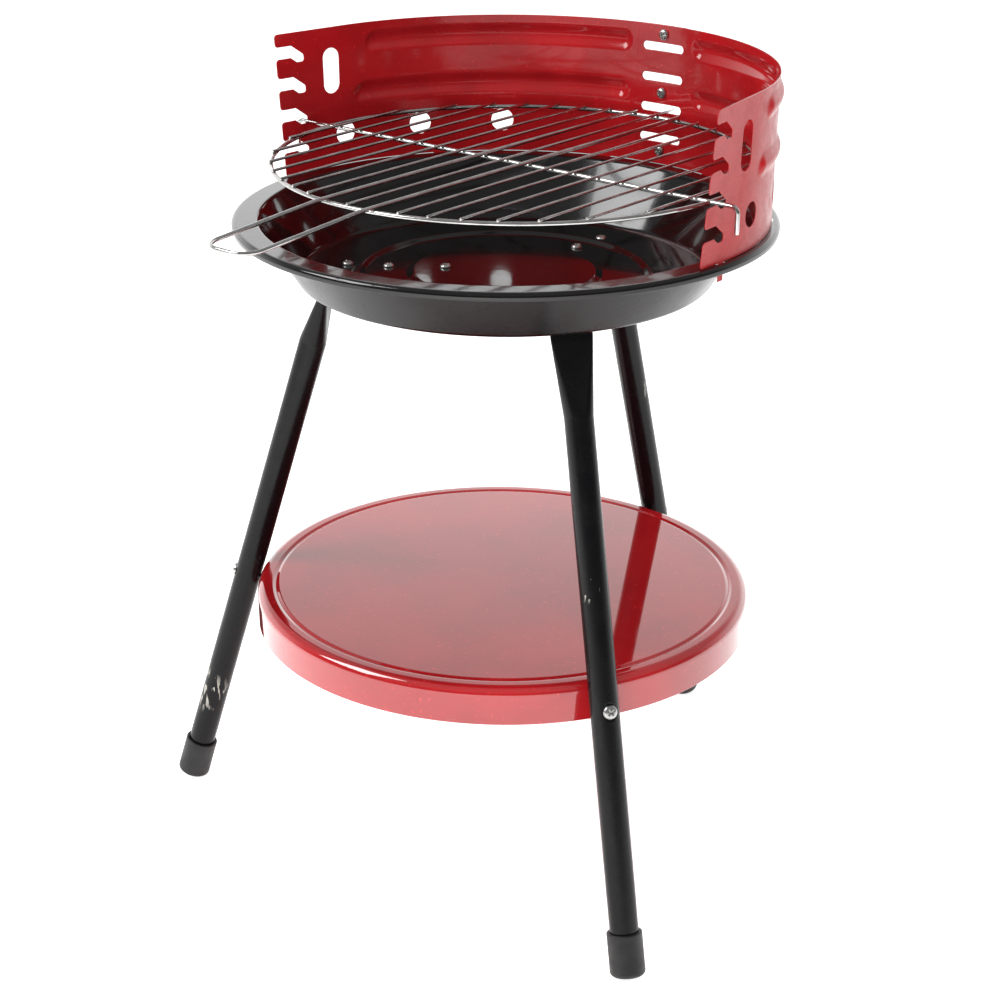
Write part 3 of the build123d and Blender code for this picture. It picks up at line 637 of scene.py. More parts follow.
def front_edge(base, top):
    """Front edge of a flat end in Y and Z, from the flange up: round teeth and four seats."""
    s = bpy.context.scene.bbq_screen
    front = -s.end_front
    seat = BAR_HIGH.z - BAR_WIRE - SEAT_GAP
    back, drop, roof_end = front + NOTCH_REACH, front + NOTCH_FLOOR, front + NOTCH_FLOOR + MM
    corners, radii = [(front + 16 * MM, base), (front, base)], [TOOTH_CORNER]
    for level in range(1, -3, -1):
        floor = seat - level * LEVEL_PITCH
        channel, roof = floor + SEAT_DEPTH, floor + SEAT_DEPTH + NOTCH_HEIGHT
        corners += [(front, channel), (drop, channel), (drop + SEAT_DEPTH / SEAT_SLOPE, floor), (back, floor),
                    (back, roof - (back - roof_end) * SEAT_SLOPE), (roof_end, roof), (front, roof)]
        radii += [TOOTH_CORNER, MM, MM, 2 * MM, 2.6 * MM, MM, TOOTH_CORNER]
    corners += [(front, top), (front + 60 * MM, top)]
    return spaced(rounded_line(corners, radii + [TOOTH_CORNER], turn=math.radians(15)), step=2 * MM)


def screen_outlines():
    """Outer outline and holes of one half, in q and z, with the outline anticlockwise and holes clockwise."""
    s = bpy.context.scene.bbq_screen
    top = SCREEN_HIGH.z
    base = top - s.height
    arc, end = screen_runs()
    back = arc * s.lap / (math.pi / 2 + s.lap - s.end_turn / 2)
    turn = lambda p: -np.arctan2(p[..., 1], p[..., 0])
    by_turn = lambda degrees, z: q_where(turn, -np.radians(90 + degrees), z, 0.0, arc + end)
    by_y = lambda y, z: q_where(lambda p: p[..., 1], y, z, back, arc + end)
    by_x = lambda x, z: q_where(lambda p: p[..., 0], x, z, 0.0, arc)
    front = front_edge(base, top)
    front = np.stack([by_y(front[:, 0], front[:, 1]), front[:, 1]], 1)
    foot = np.array([base])
    radius = bpy.context.scene.bbq_bowl.rim_radius - s.inset
    low, radii, tip = [(0, base)], [], base - TAB_LENGTH
    for q in [by_turn(a, foot)[0] for a in TAB_ANGLES] + [by_y(TAB_FRONT, foot)[0]]:
        before, after = q - TAB_WIDTH / 2, q + TAB_WIDTH / 2
        low += [(before, base), (before, tip), (after, tip), (after, base)]
        radii += [0.6 * MM, MM, MM, 0.6 * MM]
    low = spaced(rounded_line(low + [tuple(front[0])], radii, turn=math.radians(20)), step=3 * MM)
    rest = spaced(rounded_line([front[-1], (0, top), (0, base)], [1.5 * MM]), step=3 * MM)
    outer = np.concatenate([low[:-1], front, rest[1:-1]])
    holes = []
    vent, side_slot, rear_slot = stadium(s.vent, s.vent), stadium(*SIDE_SLOT), stadium(*REAR_SLOT)
    for a in VENT_ANGLES:
        z = base + VENT_HIGH + vent[:, 1]
        swing = np.degrees(np.arcsin(vent[:, 0] / radius))
        holes.append(np.stack([by_turn(a + swing, z), z], 1))
    z = top - SIDE_SLOT_LOW + side_slot[:, 1]
    holes.append(np.stack([by_y(SIDE_SLOT_BACK - side_slot[:, 0], z), z], 1))
    for level in range(4):
        z = top - FIRST_SLOT - level * LEVEL_PITCH + rear_slot[:, 1]
        holes.append(np.stack([by_x(-rear_slot[:, 0], z), z], 1))
    return outer, holes


def inside_of(points, loops):
    """Even-odd test of points against closed loops: how often a level ray to the right meets an edge."""
    start = np.concatenate(loops)
    stop = np.concatenate([np.roll(loop, -1, 0) for loop in loops])
    odd = np.zeros(len(points), bool)
    for part in np.array_split(np.arange(len(points)), max(1, len(points) // 2000)):
        x, y = points[part, :1], points[part, 1:]
        straddles = (start[:, 1] > y) != (stop[:, 1] > y)
        rise = np.where(stop[:, 1] == start[:, 1], 1.0, stop[:, 1] - start[:, 1])
        meets = x < start[:, 0] + (y - start[:, 1]) / rise * (stop[:, 0] - start[:, 0])
        odd[part] = (straddles & meets).sum(1) % 2 == 1
    return odd


def trimmed_sheet(loops, place, thickness, step):
    """A curved sheet trimmed by loops in its own two parameters, as points, quads, triangles and normals.

    The plane region is filled with a grid of points and joined up by Delaunay triangles. place(q, z, d)
    carries each point to the face at depth d. Both faces stop half a thickness short of the loops, and a
    half-round edge joins them: inset = h (1 - cos f), depth = h sin f.
    """
    half = thickness / 2
    ahead = [np.roll(loop, -1, 0) - np.roll(loop, 1, 0) for loop in loops]
    inward = [np.stack([-a[:, 1], a[:, 0]], 1) / np.linalg.norm(a, axis=1)[:, None] for a in ahead]
    pulled = [loop + n * half for loop, n in zip(loops, inward)]
    rim, rim_in = np.concatenate(pulled), np.concatenate(inward)
    low, high = rim.min(0), rim.max(0)
    q, z = np.meshgrid(*(np.arange(low[k], high[k], step[k]) for k in (0, 1)), indexing="ij")
    q = q + (np.arange(z.shape[1]) % 2) * step[0] / 2
    fill = np.stack([q.ravel(), z.ravel()], 1)
    fill = fill[inside_of(fill, pulled)]
    clear = np.full(len(fill), np.inf)
    for part in np.array_split(rim, max(1, len(rim) // 64)):
        gap = (fill[:, None] - part[None]) / np.array(step)
        clear = np.minimum(clear, (gap ** 2).sum(-1).min(1))
    flat = np.concatenate([rim, fill[clear > 0.4]])
    starts = np.cumsum([0] + [len(loop) for loop in loops])
    ring = [(np.arange(a, b), np.roll(np.arange(a, b), -1)) for a, b in zip(starts[:-1], starts[1:])]
    here, following = np.concatenate([a for a, _ in ring]), np.concatenate([b for _, b in ring])
    edges = np.stack([here, following], 1).tolist()
    made = delaunay_2d_cdt([Vector(p) for p in (flat * 1000).tolist()], edges, [], 0, 1e-6)
    if len(made[0]) != len(flat):
        raise RuntimeError("the sheet's outline crosses itself")
    triangles = np.array([f for f in made[2] if len(f) == 3])
    triangles = triangles[inside_of(flat[triangles].mean(1), pulled)]
    count, edge = len(flat), len(rim)
    swing = np.radians([45, 0, -45])
    points = [place(flat[:, 0], flat[:, 1], half), place(flat[:, 0], flat[:, 1], -half)]
    normal = sheet_normals(flat, place)
    normals = [normal, -normal]
    quads = []
    rows = [np.arange(edge)]
    for k, f in enumerate(swing):
        back = rim - rim_in * half * math.cos(f)
        points.append(place(back[:, 0], back[:, 1], half * math.sin(f)))
        outward = points[-1] - place(rim[:, 0], rim[:, 1], half * math.sin(f))
        normals.append(unit(math.cos(f) * unit(outward) + math.sin(f) * normal[:edge]))
        rows.append(2 * count + k * edge + np.arange(edge))
    rows.append(count + np.arange(edge))
    for first, second in zip(rows[:-1], rows[1:]):
        quads.append(np.stack([second[here], second[following], first[following], first[here]], 1))
    triangles = np.concatenate([triangles, triangles[:, ::-1] + count])
    return np.concatenate(points), np.concatenate(quads), triangles, np.concatenate(normals)


def sheet_normals(flat, place):
    """Normal of a placed sheet: the cross product of its slopes along its two parameters."""
    d = 0.05 * MM
    along = place(flat[:, 0] + d, flat[:, 1], 0.0) - place(flat[:, 0] - d, flat[:, 1], 0.0)
    up = place(flat[:, 0], flat[:, 1] + d, 0.0) - place(flat[:, 0], flat[:, 1] - d, 0.0)
    return unit(np.cross(along, up))


def screen_half(side):
    """One half of the screen: the left one as made, or its mirror image for the right."""
    bowl, s = bpy.context.scene.bbq_bowl, bpy.context.scene.bbq_screen
    offset = LEFT_OUT if side < 0 else 0.0
    arc = screen_runs()[0]
    outer, holes = screen_outlines()
    centres = [SCREEN_HIGH.z - low for low in RIB_LOWS]
    q0, q1 = (arc * (s.lap + math.radians(a)) / (math.pi / 2 + s.lap - s.end_turn / 2) for a in RIB_TURNS)

    def place(q, z, depth):
        """Point of the sheet's middle plus the ribs' rise and a depth, both level and square to the face."""
        spot = screen_place(q, z, offset)
        d = 0.05 * MM
        along = screen_place(q + d, z, offset) - screen_place(q - d, z, offset)
        out = unit(np.stack([along[..., 1], -along[..., 0], 0 * along[..., 0]], -1))
        return spot + out * (bowl.sheet / 2 + depth + rib_rise(q, z, centres, q0, q1))[..., None]

    points, quads, triangles, normals = trimmed_sheet([outer] + holes, place, bowl.sheet,
                                                      (2.6 * MM, 1.4 * MM))
    if side > 0:
        points, normals = points * [-1, 1, 1], normals * [-1, 1, 1]
        quads, triangles = quads[:, ::-1], triangles[:, ::-1]
    face = np.repeat([1, 0], len(triangles) // 2)
    marks = np.concatenate([np.zeros(len(quads), int), face])
    return points, quads.tolist() + triangles.tolist(), marks, normals


class BBQ_OT_wind_screen(bpy.types.Operator):
    """Both enamelled halves of the wind screen"""
    bl_idname = "bbq.wind_screen"
    bl_label = "Wind screen"

    def execute(self, context):
        rgb = context.scene.bbq_colours.red
        inside = coated("screen_enamel_inside", rgb, 150.0, 0.03 * MM, (0.08, 0.15), coat=0.2, specular=0.4)
        outside = coated("screen_enamel_outside", rgb, 620.0, 0.06 * MM, (0.22, 0.32), shade=0.93,
                         specular=0.3)
        for side, name in ((-1, "left"), (1, "right")):
            points, faces, marks, normals = screen_half(side)
            put("screen_" + name, points, faces, [inside, outside], "barbecue", ["wind_screen_" + name],
                marks, normals)
        return {"FINISHED"}


# ---- shelf ---------------------------------------------------------------------------------
class BBQ_OT_shelf(bpy.types.Operator):
    """Round pressed shelf"""
    bl_idname = "bbq.shelf"
    bl_label = "Shelf"

    def execute(self, context):
        s, sheet = context.scene.bbq_shelf, context.scene.bbq_bowl.sheet
        radius, top = SHELF_HIGH.x, SHELF_HIGH.z - sheet / 2
        edge, line_at = radius - sheet / 2, radius - s.groove_inset
        corners = [(0, top), (line_at - 2.5 * MM, top), (line_at, top - s.groove_depth),
                   (line_at + 2.5 * MM, top), (edge, top), (edge, SHELF_LOW.z + sheet / 2)]
        line = spaced(rounded_line(corners, [1.5 * MM] * 3 + [s.edge - sheet / 2]), hold=0.8 * MM)
        outline = sheet_outline(line, sheet)
        angles = np.linspace(0, 2 * math.pi, 320, endpoint=False)
        faces = grid_faces(len(outline), len(angles), False, True).reshape(-1, 4)
        red = coated("shelf_enamel", context.scene.bbq_colours.red, 110.0, 0.012 * MM, (0.03, 0.07),
                     coat=1.0, specular=0.6)
        put("shelf_shell", turned(outline, angles), faces.tolist(), [red], "barbecue", ["shelf_tray"])
        return {"FINISHED"}


# ---- legs and caps -------------------------------------------------------------------------
def leg_frame():
    """The legs' lean, the direction up a leg in radius and height, and the height of the pressed end."""
    bowl, s = bpy.context.scene.bbq_bowl, bpy.context.scene.bbq_leg
    level = bowl.underside - FACE_GAP - s.pressed / 2
    lean = math.atan((s.foot_radius - s.top_radius) / level)
    return lean, np.array([-math.sin(lean), math.cos(lean)]), level


def turn_about(points, degrees):
    """Points given as radius, side and height, turned about Z into place."""
    c, d = math.cos(math.radians(degrees)), math.sin(math.radians(degrees))
    return points @ np.array([[c, d, 0], [-d, c, 0], [0, 0, 1]])


def leg_surface():
    """A tube's section carried up the leg's line and over the bend.

    At half thickness h the section has the tube's own girth: two flats of length pi (R - h) joined by half
    circles of radius h. h falls evenly from R to the pressed end's half thickness over the flare, which
    draws the two creases out from a point, and the outer flat is hollow between them.
    """
    s = bpy.context.scene.bbq_leg
    lean, up, level = leg_frame()
    radius = s.tube / 2
    corner = np.array([s.top_radius, level])
    start = np.array([s.foot_radius, 0]) + up * LEG_START
    bend = LEG_BEND * math.tan((math.pi / 2 - lean) / 2)
    line = rounded_line([start, corner, corner - [LEG_TAB, 0]], [LEG_BEND], turn=math.radians(5))
    total = lengths(line)[-1]
    flat = np.linalg.norm(corner - start) - bend - 2 * MM
    screw = (shelf_screw_height() - start[1]) / math.cos(lean)
    where = np.unique(np.round(np.concatenate([
        np.linspace(0, flat - s.flare, 24), np.arange(screw - 9 * MM, screw + 9 * MM, 0.7 * MM),
        np.linspace(flat - s.flare - 3 * MM, flat + 22 * MM, 80),
        np.linspace(flat + 23 * MM, total, 12)]), 8))
    path = points_at(line, where)
    ahead = unit(np.gradient(path, axis=0))
    out = np.stack([ahead[:, 1], -ahead[:, 0]], 1)
    h = np.interp(where, [0, flat - s.flare, flat], [radius, radius, s.pressed / 2])[:, None]
    run = math.pi * (radius - h)
    g = (np.linspace(0, 1, 112, endpoint=False) * 2 * math.pi * radius)[None]
    quarter = math.pi * h / 2
    stage = [g < quarter, g < quarter + run, g < 3 * quarter + run, g < 3 * quarter + 2 * run]
    first, second = g / h, (g - quarter - run) / h + math.pi / 2
    third = (g - 3 * quarter - 2 * run) / h - math.pi / 2
    a = np.select(stage, [run / 2 + h * np.cos(first), run / 2 - (g - quarter), -run / 2 + h * np.cos(second),
                          -run / 2 + (g - 3 * quarter - run)], run / 2 + h * np.cos(third))
    b = np.select(stage, [h * np.sin(first), h + 0 * g, h * np.sin(second), -h + 0 * g], h * np.sin(third))
    along = np.clip((where - flat + s.flare) / s.flare, 0, 1)[:, None]
    hollow = s.dent * np.sin(math.pi * np.clip(along * 1.05, 0, 1)) ** 1.5
    reach = np.clip(1 - (a / (run / 2 + 1e-9)) ** 2, 0, 1) * (run > 2 * MM)
    b = np.where(b > 0, b - hollow * np.sqrt(reach) * 0.9, b)
    seat = radius - SCREW_SEAT + np.maximum(np.hypot(where[:, None] - screw, a) - 5.8 * MM, 0) * 0.8
    b = np.where(b > 0, np.minimum(b, seat), b)
    spot = path[:, None, :] + out[:, None, :] * b[..., None]
    points = np.stack([spot[..., 0], a, spot[..., 1]], -1)
    ends = [np.array([path[k, 0], 0, path[k, 1]]) for k in (0, -1)]
    shrink = (points[-1] - ends[1]) * [1, 0.96, 0.5] + ends[1]
    points[-1] += [0.4 * MM, 0, 0]
    ring = np.ones((points.shape[1], 1))
    points = np.concatenate([(ring * ends[0])[None], points, shrink[None], (ring * ends[1])[None]])
    return points, grid_faces(points.shape[0], points.shape[1], False, True).reshape(-1, 4)


def shelf_screw_height():
    """The shelf screws pass the legs' axes level with the middle of the shelf's skirt."""
    return (SHELF_LOW.z + SHELF_HIGH.z) / 2


class BBQ_OT_legs(bpy.types.Operator):
    """Three tube legs with pressed ends"""
    bl_idname = "bbq.legs"
    bl_label = "Legs"

    def execute(self, context):
        rgb = context.scene.bbq_colours.paint
        paint = coated("leg_paint", rgb, 420.0, 0.03 * MM, (0.2, 0.3), specular=0.22)
        self.rub(paint.node_tree)
        points, faces = leg_surface()
        for name, degrees in LEGS.items():
            put(name.replace("leg", "tube"), turn_about(points, degrees), faces.tolist(), [paint], "barbecue",
                [name], sharp=50.0)
        return {"FINISHED"}

    def rub(self, tree):
        """Bare metal shows through the paint in a few rubbed places."""
        s = bpy.context.scene.bbq_leg
        lean, up, level = leg_frame()
        shader = tree.nodes["Principled BSDF"]
        base = shader.inputs["Base Color"].links[0].from_socket
        rough = shader.inputs["Roughness"].links[0].from_socket
        mask = None
        for degrees, height, reach in ((210, 0.088, 0.024), (-30, 0.288, 0.011), (90, 0.33, 0.013)):
            radius = s.foot_radius - math.tan(lean) * height
            across = 8 * MM if degrees == 210 else -8 * MM
            spot = turn_about(np.array([radius + 8 * MM, across, height]), degrees)
            patch = add(tree, "ShaderNodeGroup", (0, -600), node_tree=shared("rubbed_patch", rub_group))
            patch.inputs["Place"].default_value = spot.tolist()
            patch.inputs["Reach"].default_value = reach
            out = patch.outputs["Mask"]
            mask = out if mask is None else math_node(tree, (300, -600), "MAXIMUM", mask, out)
        mix = tone(tree, (760, 300), mask, (0, 0, 0), (0.42, 0.40, 0.36))
        tree.links.new(base, mix.inputs[6])
        tree.links.new(mix.outputs[2], shader.inputs["Base Color"])
        tree.links.new(math_node(tree, (760, -500), "MULTIPLY", mask, 0.8), shader.inputs["Metallic"])
        worn = math_node(tree, (600, -800), "MULTIPLY", mask, 0.15)
        dull = math_node(tree, (760, -700), "ADD", rough, worn)
        tree.links.new(dull, shader.inputs["Roughness"])


class BBQ_OT_foot_caps(bpy.types.Operator):
    """Moulded cups on the feet, flat where they stand"""
    bl_idname = "bbq.foot_caps"
    bl_label = "Foot caps"

    def execute(self, context):
        s = context.scene.bbq_leg
        plastic = coated("foot_plastic", context.scene.bbq_colours.plastic, 900.0, 0.05 * MM, (0.42, 0.55),
                         pale=2.0)
        lean, up, level = leg_frame()
        bore = s.tube / 2 + 0.1 * MM
        outer = s.tube / 2 + s.cap_wall
        corners = [(0, 0), (outer, 0), (outer, s.cap_height), (bore, s.cap_height), (bore, CAP_BOTTOM),
                   (0, CAP_BOTTOM)]
        outline = spaced(rounded_line(corners, [3.5 * MM, MM, 0.4 * MM, 0.4 * MM]), hold=0.6 * MM)
        angles = np.linspace(0, 2 * math.pi, 96, endpoint=False)
        cup = turned(outline, angles)
        foot = np.array([s.foot_radius, 0]) + up * (LEG_START - CAP_BOTTOM)
        cup = placed(cup, (foot[0], 0, foot[1]), (up[0], 0, up[1]))
        cup[..., 2] = np.maximum(cup[..., 2], 0)
        faces = grid_faces(len(outline), len(angles), False, True).reshape(-1, 4)
        for name, degrees in LEGS.items():
            node = name.replace("leg", "foot_cap")
            put(name.replace("leg", "cap"), turn_about(cup, degrees), faces.tolist(), [plastic], "barbecue",
                [node])
        return {"FINISHED"}


# ---- fasteners -----------------------------------------------------------------------------
M5 = dict(shank=5 * MM, head=9 * MM, head_height=2.8 * MM, nut=8 * MM, nut_height=4 * MM, pitch=0.8 * MM)
M6 = dict(shank=6 * MM, head=11 * MM, head_height=3.4 * MM, nut=10 * MM, nut_height=5 * MM, pitch=MM)


def screw_surface(size, long):
    """A pan head over a threaded shank, turned about Z.

    The head is a superellipse. Its cross recess sinks where either arm's band, smooth at its edges, covers
    the point, deeper towards the middle. The thread moves the shank's radius by a triangle wave of height /
    pitch minus turn.
    """
    columns = 64
    around = np.linspace(0, 2 * math.pi, columns, endpoint=False)[None]
    a = np.linspace(0, math.pi / 2, 26)[:, None]
    r = size["head"] / 2 * np.sin(a) ** 0.75
    r = np.broadcast_to(r, (26, columns))
    z = np.broadcast_to(size["head_height"] * np.cos(a) ** 0.8, r.shape)
    x, y = r * np.cos(around), r * np.sin(around)
    span, arm = size["head"] * 0.27, size["head"] * 0.055
    inside = lambda gap, soft: np.clip(gap / (soft * arm) + 0.5, 0, 1)
    band = lambda u, v: inside(span - np.abs(u), 0.25) * inside(arm - np.abs(v), 0.4)
    sunk = np.maximum(band(x, y), band(y, x)) * (1.5 * MM - 0.35 * r)
    head = np.stack([x, y, z - sunk], -1)
    length_threaded = min(long, 11 * MM)
    heights = np.concatenate([[0], np.linspace(-(long - length_threaded) - 0.2 * MM, -long + 0.5 * MM,
                                               int(length_threaded / size["pitch"] * 6)), [-long]])[:, None]
    wave = np.abs(((heights / size["pitch"] + around / (2 * math.pi)) % 1) * 2 - 1)
    thread = size["shank"] / 2 - 0.30 * size["pitch"] * wave * (heights < -0.1 * MM)
    thread[-1] = size["shank"] / 2 - 0.6 * MM
    shank = np.stack([thread * np.cos(around), thread * np.sin(around), heights + 0 * thread], -1)
    low = np.zeros((1, columns, 3))
    low[..., 2] = -long
    points = np.concatenate([head, shank, low])
    return points, grid_faces(len(points), columns, False, True)


def nut_surface(size):
    """A hexagon nut hanging from Z = 0: flats at width / 2 over the cosine from each flat's middle, with
    the corners chamfered on both faces at 30 degrees."""
    columns = 96
    around = np.linspace(0, 2 * math.pi, columns, endpoint=False)
    flat = size["nut"] / 2 / np.cos((around + math.pi / 6) % (math.pi / 3) - math.pi / 6)
    lost = (flat - size["nut"] / 2) * math.tan(math.radians(30))
    bore, face = size["shank"] / 2 + 0.1 * MM, size["nut"] / 2 * 0.97
    tall = size["nut_height"]
    one = np.ones(columns)
    rows = [(bore * one, -0.3 * MM * one), ((bore + 0.3 * MM) * one, 0 * one), (face * one, 0 * one),
            (flat * 0.995, -lost - 0.1 * MM), (flat, -lost - 0.35 * MM), (flat, -tall + lost + 0.35 * MM),
            (flat * 0.995, -tall + lost + 0.1 * MM), (face * one, -tall * one),
            ((bore + 0.3 * MM) * one, -tall * one), (bore * one, (-tall + 0.3 * MM) * one)]
    radius, height = np.array([r for r, _ in rows]), np.array([z for _, z in rows])
    points = np.stack([radius * np.cos(around), radius * np.sin(around), height], -1)
    return points, grid_faces(len(rows), columns, True, True)


def fastening_places():
    """Where each screw sits: size, seat, direction out of its head, and the thickness that it clamps."""
    bowl, screen, s = (getattr(bpy.context.scene, n) for n in ("bbq_bowl", "bbq_screen", "bbq_leg"))
    lean, up, level = leg_frame()
    low = bowl.rim_radius - screen.inset
    wall = lambda z: low + (z - SCREEN_HIGH.z + screen.height) / screen.height * screen.flare
    found = {"screen_lap": [], "leg": [], "shelf": [], "bowl_floor": []}
    for below in LAP_SCREW_LOWS:
        z = SCREEN_HIGH.z - below
        seat = math.sqrt(wall(z - M5["head"] / 2) ** 2 - (M5["head"] / 2) ** 2)
        grip = wall(z + M5["nut"] / 2) + LEFT_OUT + bowl.sheet - seat
        found["screen_lap"].append((M5, (0, seat, z), (0, -1, 0), grip))
    floor = bowl.underside + bowl.sheet
    for degrees in LEGS.values():
        c, d = math.cos(math.radians(degrees)), math.sin(math.radians(degrees))
        for inset in LEG_SCREW_INSETS:
            r = s.top_radius - inset
            found["leg"].append((M5, (r * c, r * d, floor), (0, 0, 1), bowl.sheet + FACE_GAP + s.pressed))
        z = shelf_screw_height()
        axis = s.foot_radius - math.tan(lean) * z
        out = np.array([math.cos(lean), 0, math.sin(lean)])
        seat = np.array([axis, 0, z]) + out * (s.tube / 2 - SCREW_SEAT)
        skirt = (axis - SHELF_HIGH.x + bowl.sheet) / math.cos(lean)
        grip = s.tube / 2 - SCREW_SEAT + skirt + M6["nut"] * 0.6 * math.tan(lean)
        found["shelf"].append((M6, turn_about(seat, degrees), turn_about(out, degrees), grip))
    radius, degrees = FLOOR_SCREW
    spot = turn_about(np.array([radius, 0, floor + bowl.disc_height]), degrees)
    found["bowl_floor"].append((M5, spot, (0, 0, 1), bowl.sheet))
    return found


class BBQ_OT_fasteners(bpy.types.Operator):
    """Pan-head screws and hexagon nuts"""
    bl_idname = "bbq.fasteners"
    bl_label = "Screws and nuts"

    def execute(self, context):
        zinc = metal("zinc_plate", context.scene.bbq_colours.zinc, (0.24, 0.38), 700.0, (0.30, 0.28, 0.24),
                     0.04 * MM)
        for name, places in fastening_places().items():
            screws, nuts = [], []
            for k, (size, seat, out, grip) in enumerate(places):
                out = np.asarray(out, float)
                turn = 0.7 + 1.3 * k
                across = np.cross(out, [math.cos(turn), math.sin(turn) * 0.6, math.sin(turn)])
                points, faces = screw_surface(size, grip + size["nut_height"] + 2 * MM)
                screws.append((placed(points, seat + out * FACE_GAP, out, across), faces))
                points, faces = nut_surface(size)
                nuts.append((placed(points, seat - out * (grip + FACE_GAP), out, across), faces))
            for kind, pieces, node in (("screws", screws, "_screws"), ("nuts", nuts, "_nuts")):
                node = name + (node[:-1] if name == "bowl_floor" else node)
                points, faces = joined(pieces)
                put(name + "_zinc_" + kind, points, faces.tolist(), [zinc], "barbecue", [node],
                    sharp=32.0)
        return {"FINISHED"}


# ---- grate ---------------------------------------------------------------------------------
def ring_facts():
    """Centre, radius and wire radius of the grate's ring, from its place in the frame."""
    centre = np.array((RING_LOW + RING_HIGH) / 2)
    wire_radius = (RING_HIGH.z - RING_LOW.z) / 2
    return centre, (RING_HIGH.x - RING_LOW.x) / 2 - wire_radius, wire_radius


def rod_facts():
    """Each thin rod: its X, front end and back end; the middle one runs on through the screen."""
    s = bpy.context.scene.bbq_grate
    centre, radius, wire_radius = ring_facts()
    steps = [0] + [side * k for k in range(2, s.rods + 1) for side in (-1, 1)]
    found = []
    for step in steps:
        reach = math.sqrt(radius ** 2 - (step * s.pitch) ** 2) + s.past_ring
        back = RODS_HIGH.y if step == 0 else centre[1] + reach
        found.append((centre[0] + step * s.pitch, centre[1] - reach, back))
    return found


def bead(place, along, size):
    """A flattened weld bead: an ellipsoid squeezed along Z, a little fuller to one side."""
    tilt = np.linspace(0, math.pi, 9)[:, None]
    around = np.linspace(0, 2 * math.pi, 14, endpoint=False)[None]
    full = 1 + 0.12 * np.sin(around + place[0] * 900)
    x = size[0] * np.sin(tilt) * np.cos(around) * full
    y = size[1] * np.sin(tilt) * np.sin(around) * full
    z = size[2] * np.cos(tilt) + 0 * around
    c, d = math.cos(along), math.sin(along)
    points = np.stack([x * c - y * d, x * d + y * c, z], -1) + place
    return points, grid_faces(9, 14, False, True)


class BBQ_OT_grate(bpy.types.Operator):
    """Welded wire grate: ring, rods, handle, crossbar and weld beads"""
    bl_idname = "bbq.grate"
    bl_label = "Grate"

    def execute(self, context):
        chrome = metal("chrome_wire", context.scene.bbq_colours.chrome, (0.10, 0.22), 500.0,
                       (0.16, 0.14, 0.12), 0.03 * MM)
        burnt = metal("weld_bead", (0.30, 0.27, 0.24), (0.30, 0.45), 1400.0, (0.06, 0.05, 0.05), 0.15 * MM)
        centre, radius, ring_wire = ring_facts()
        around = np.linspace(0, 2 * math.pi, 240, endpoint=False)
        ring = centre + radius * np.stack([np.cos(around), np.sin(around), 0 * around], 1)
        points, faces = wire(ring, ring_wire, (0, 0, 1), closed=True)
        put("wire_ring", points, faces.reshape(-1, 4).tolist(), [chrome], "grate", ["grate_ring"])
        rod_z, rod_wire = (RODS_LOW.z + RODS_HIGH.z) / 2, (RODS_HIGH.z - RODS_LOW.z) / 2
        lines = [np.array([(x, front, rod_z), (x, back, rod_z)]) for x, front, back in rod_facts()]
        rods = [wire(spaced(line, step=12 * MM), rod_wire, (0, 0, 1)) for line in lines]
        points, faces = joined(rods)
        put("wire_rods", points, faces.tolist(), [chrome], "grate", ["grate_rods"])
        self.handle(chrome, centre, radius)
        self.crossbar(chrome)
        self.welds(burnt, centre, radius, rod_z, rod_wire)
        return {"FINISHED"}

    def handle(self, chrome, centre, radius):
        """One wire from the ring's back over its front, round the loop and back."""
        s = bpy.context.scene.bbq_grate
        w = (HANDLE_HIGH.x - HANDLE_LOW.x - 2 * s.pitch) / 2
        top, low = HANDLE_HIGH.z - w, HANDLE_LOW.z + w
        front = centre[1] - math.sqrt(radius ** 2 - s.pitch ** 2) - s.past_ring
        corners = []
        for x in (HANDLE_LOW.x + w, HANDLE_HIGH.x - w):
            run = [(x, HANDLE_HIGH.y, top), (x, front - HANDLE_DROP_START, top), (x, HANDLE_LOW.y + w, low)]
            corners += run if not corners else run[::-1]
        path = rounded_line(corners, HANDLE_BENDS, turn=math.radians(5))
        points, faces = wire(spaced(path, step=8 * MM), w, (0, 0, 1), columns=24)
        put("wire_handle", points, faces.reshape(-1, 4).tolist(), [chrome], "grate", ["grate_handle"])

    def crossbar(self, chrome):
        """The wire across the ring, turned down outside the screen at both ends."""
        w = (BAR_HIGH.y - BAR_LOW.y) / 2
        y, top = (BAR_LOW.y + BAR_HIGH.y) / 2, BAR_HIGH.z - w
        left, right = BAR_LOW.x + w, BAR_HIGH.x - w
        corners = [(left, y, BAR_LOW.z), (left, y, top), (right, y, top), (right, y, BAR_LOW.z)]
        path = rounded_line(corners, [HOOK_BEND] * 2, turn=math.radians(6))
        points, faces = wire(spaced(path, step=8 * MM), w, (0, 1, 0), columns=24)
        put("wire_crossbar", points, faces.reshape(-1, 4).tolist(), [chrome], "grate", ["grate_crossbar"])

    def welds(self, burnt, centre, radius, rod_z, rod_wire):
        """A bead at each place where two wires cross."""
        s = bpy.context.scene.bbq_grate
        level = rod_z - rod_wire
        beads = []
        bar_y = (BAR_LOW.y + BAR_HIGH.y) / 2
        for x in [r[0] for r in rod_facts()] + [centre[0] - s.pitch, centre[0] + s.pitch]:
            off = x - centre[0]
            reach = math.sqrt(radius ** 2 - off ** 2)
            for sign in (-1, 1):
                slant = math.atan2(-off * sign, reach)
                beads.append(bead(np.array([x, centre[1] + sign * reach, level]), slant,
                                  (s.weld, 1.5 * MM, 0.75 * MM)))
            beads.append(bead(np.array([x, bar_y, level]), 0.0, (s.weld * 0.85, 1.4 * MM, 0.65 * MM)))
        points, faces = joined(beads)
        put("weld_beads", points, faces.tolist(), [burnt], "grate", [], sharp=80.0)


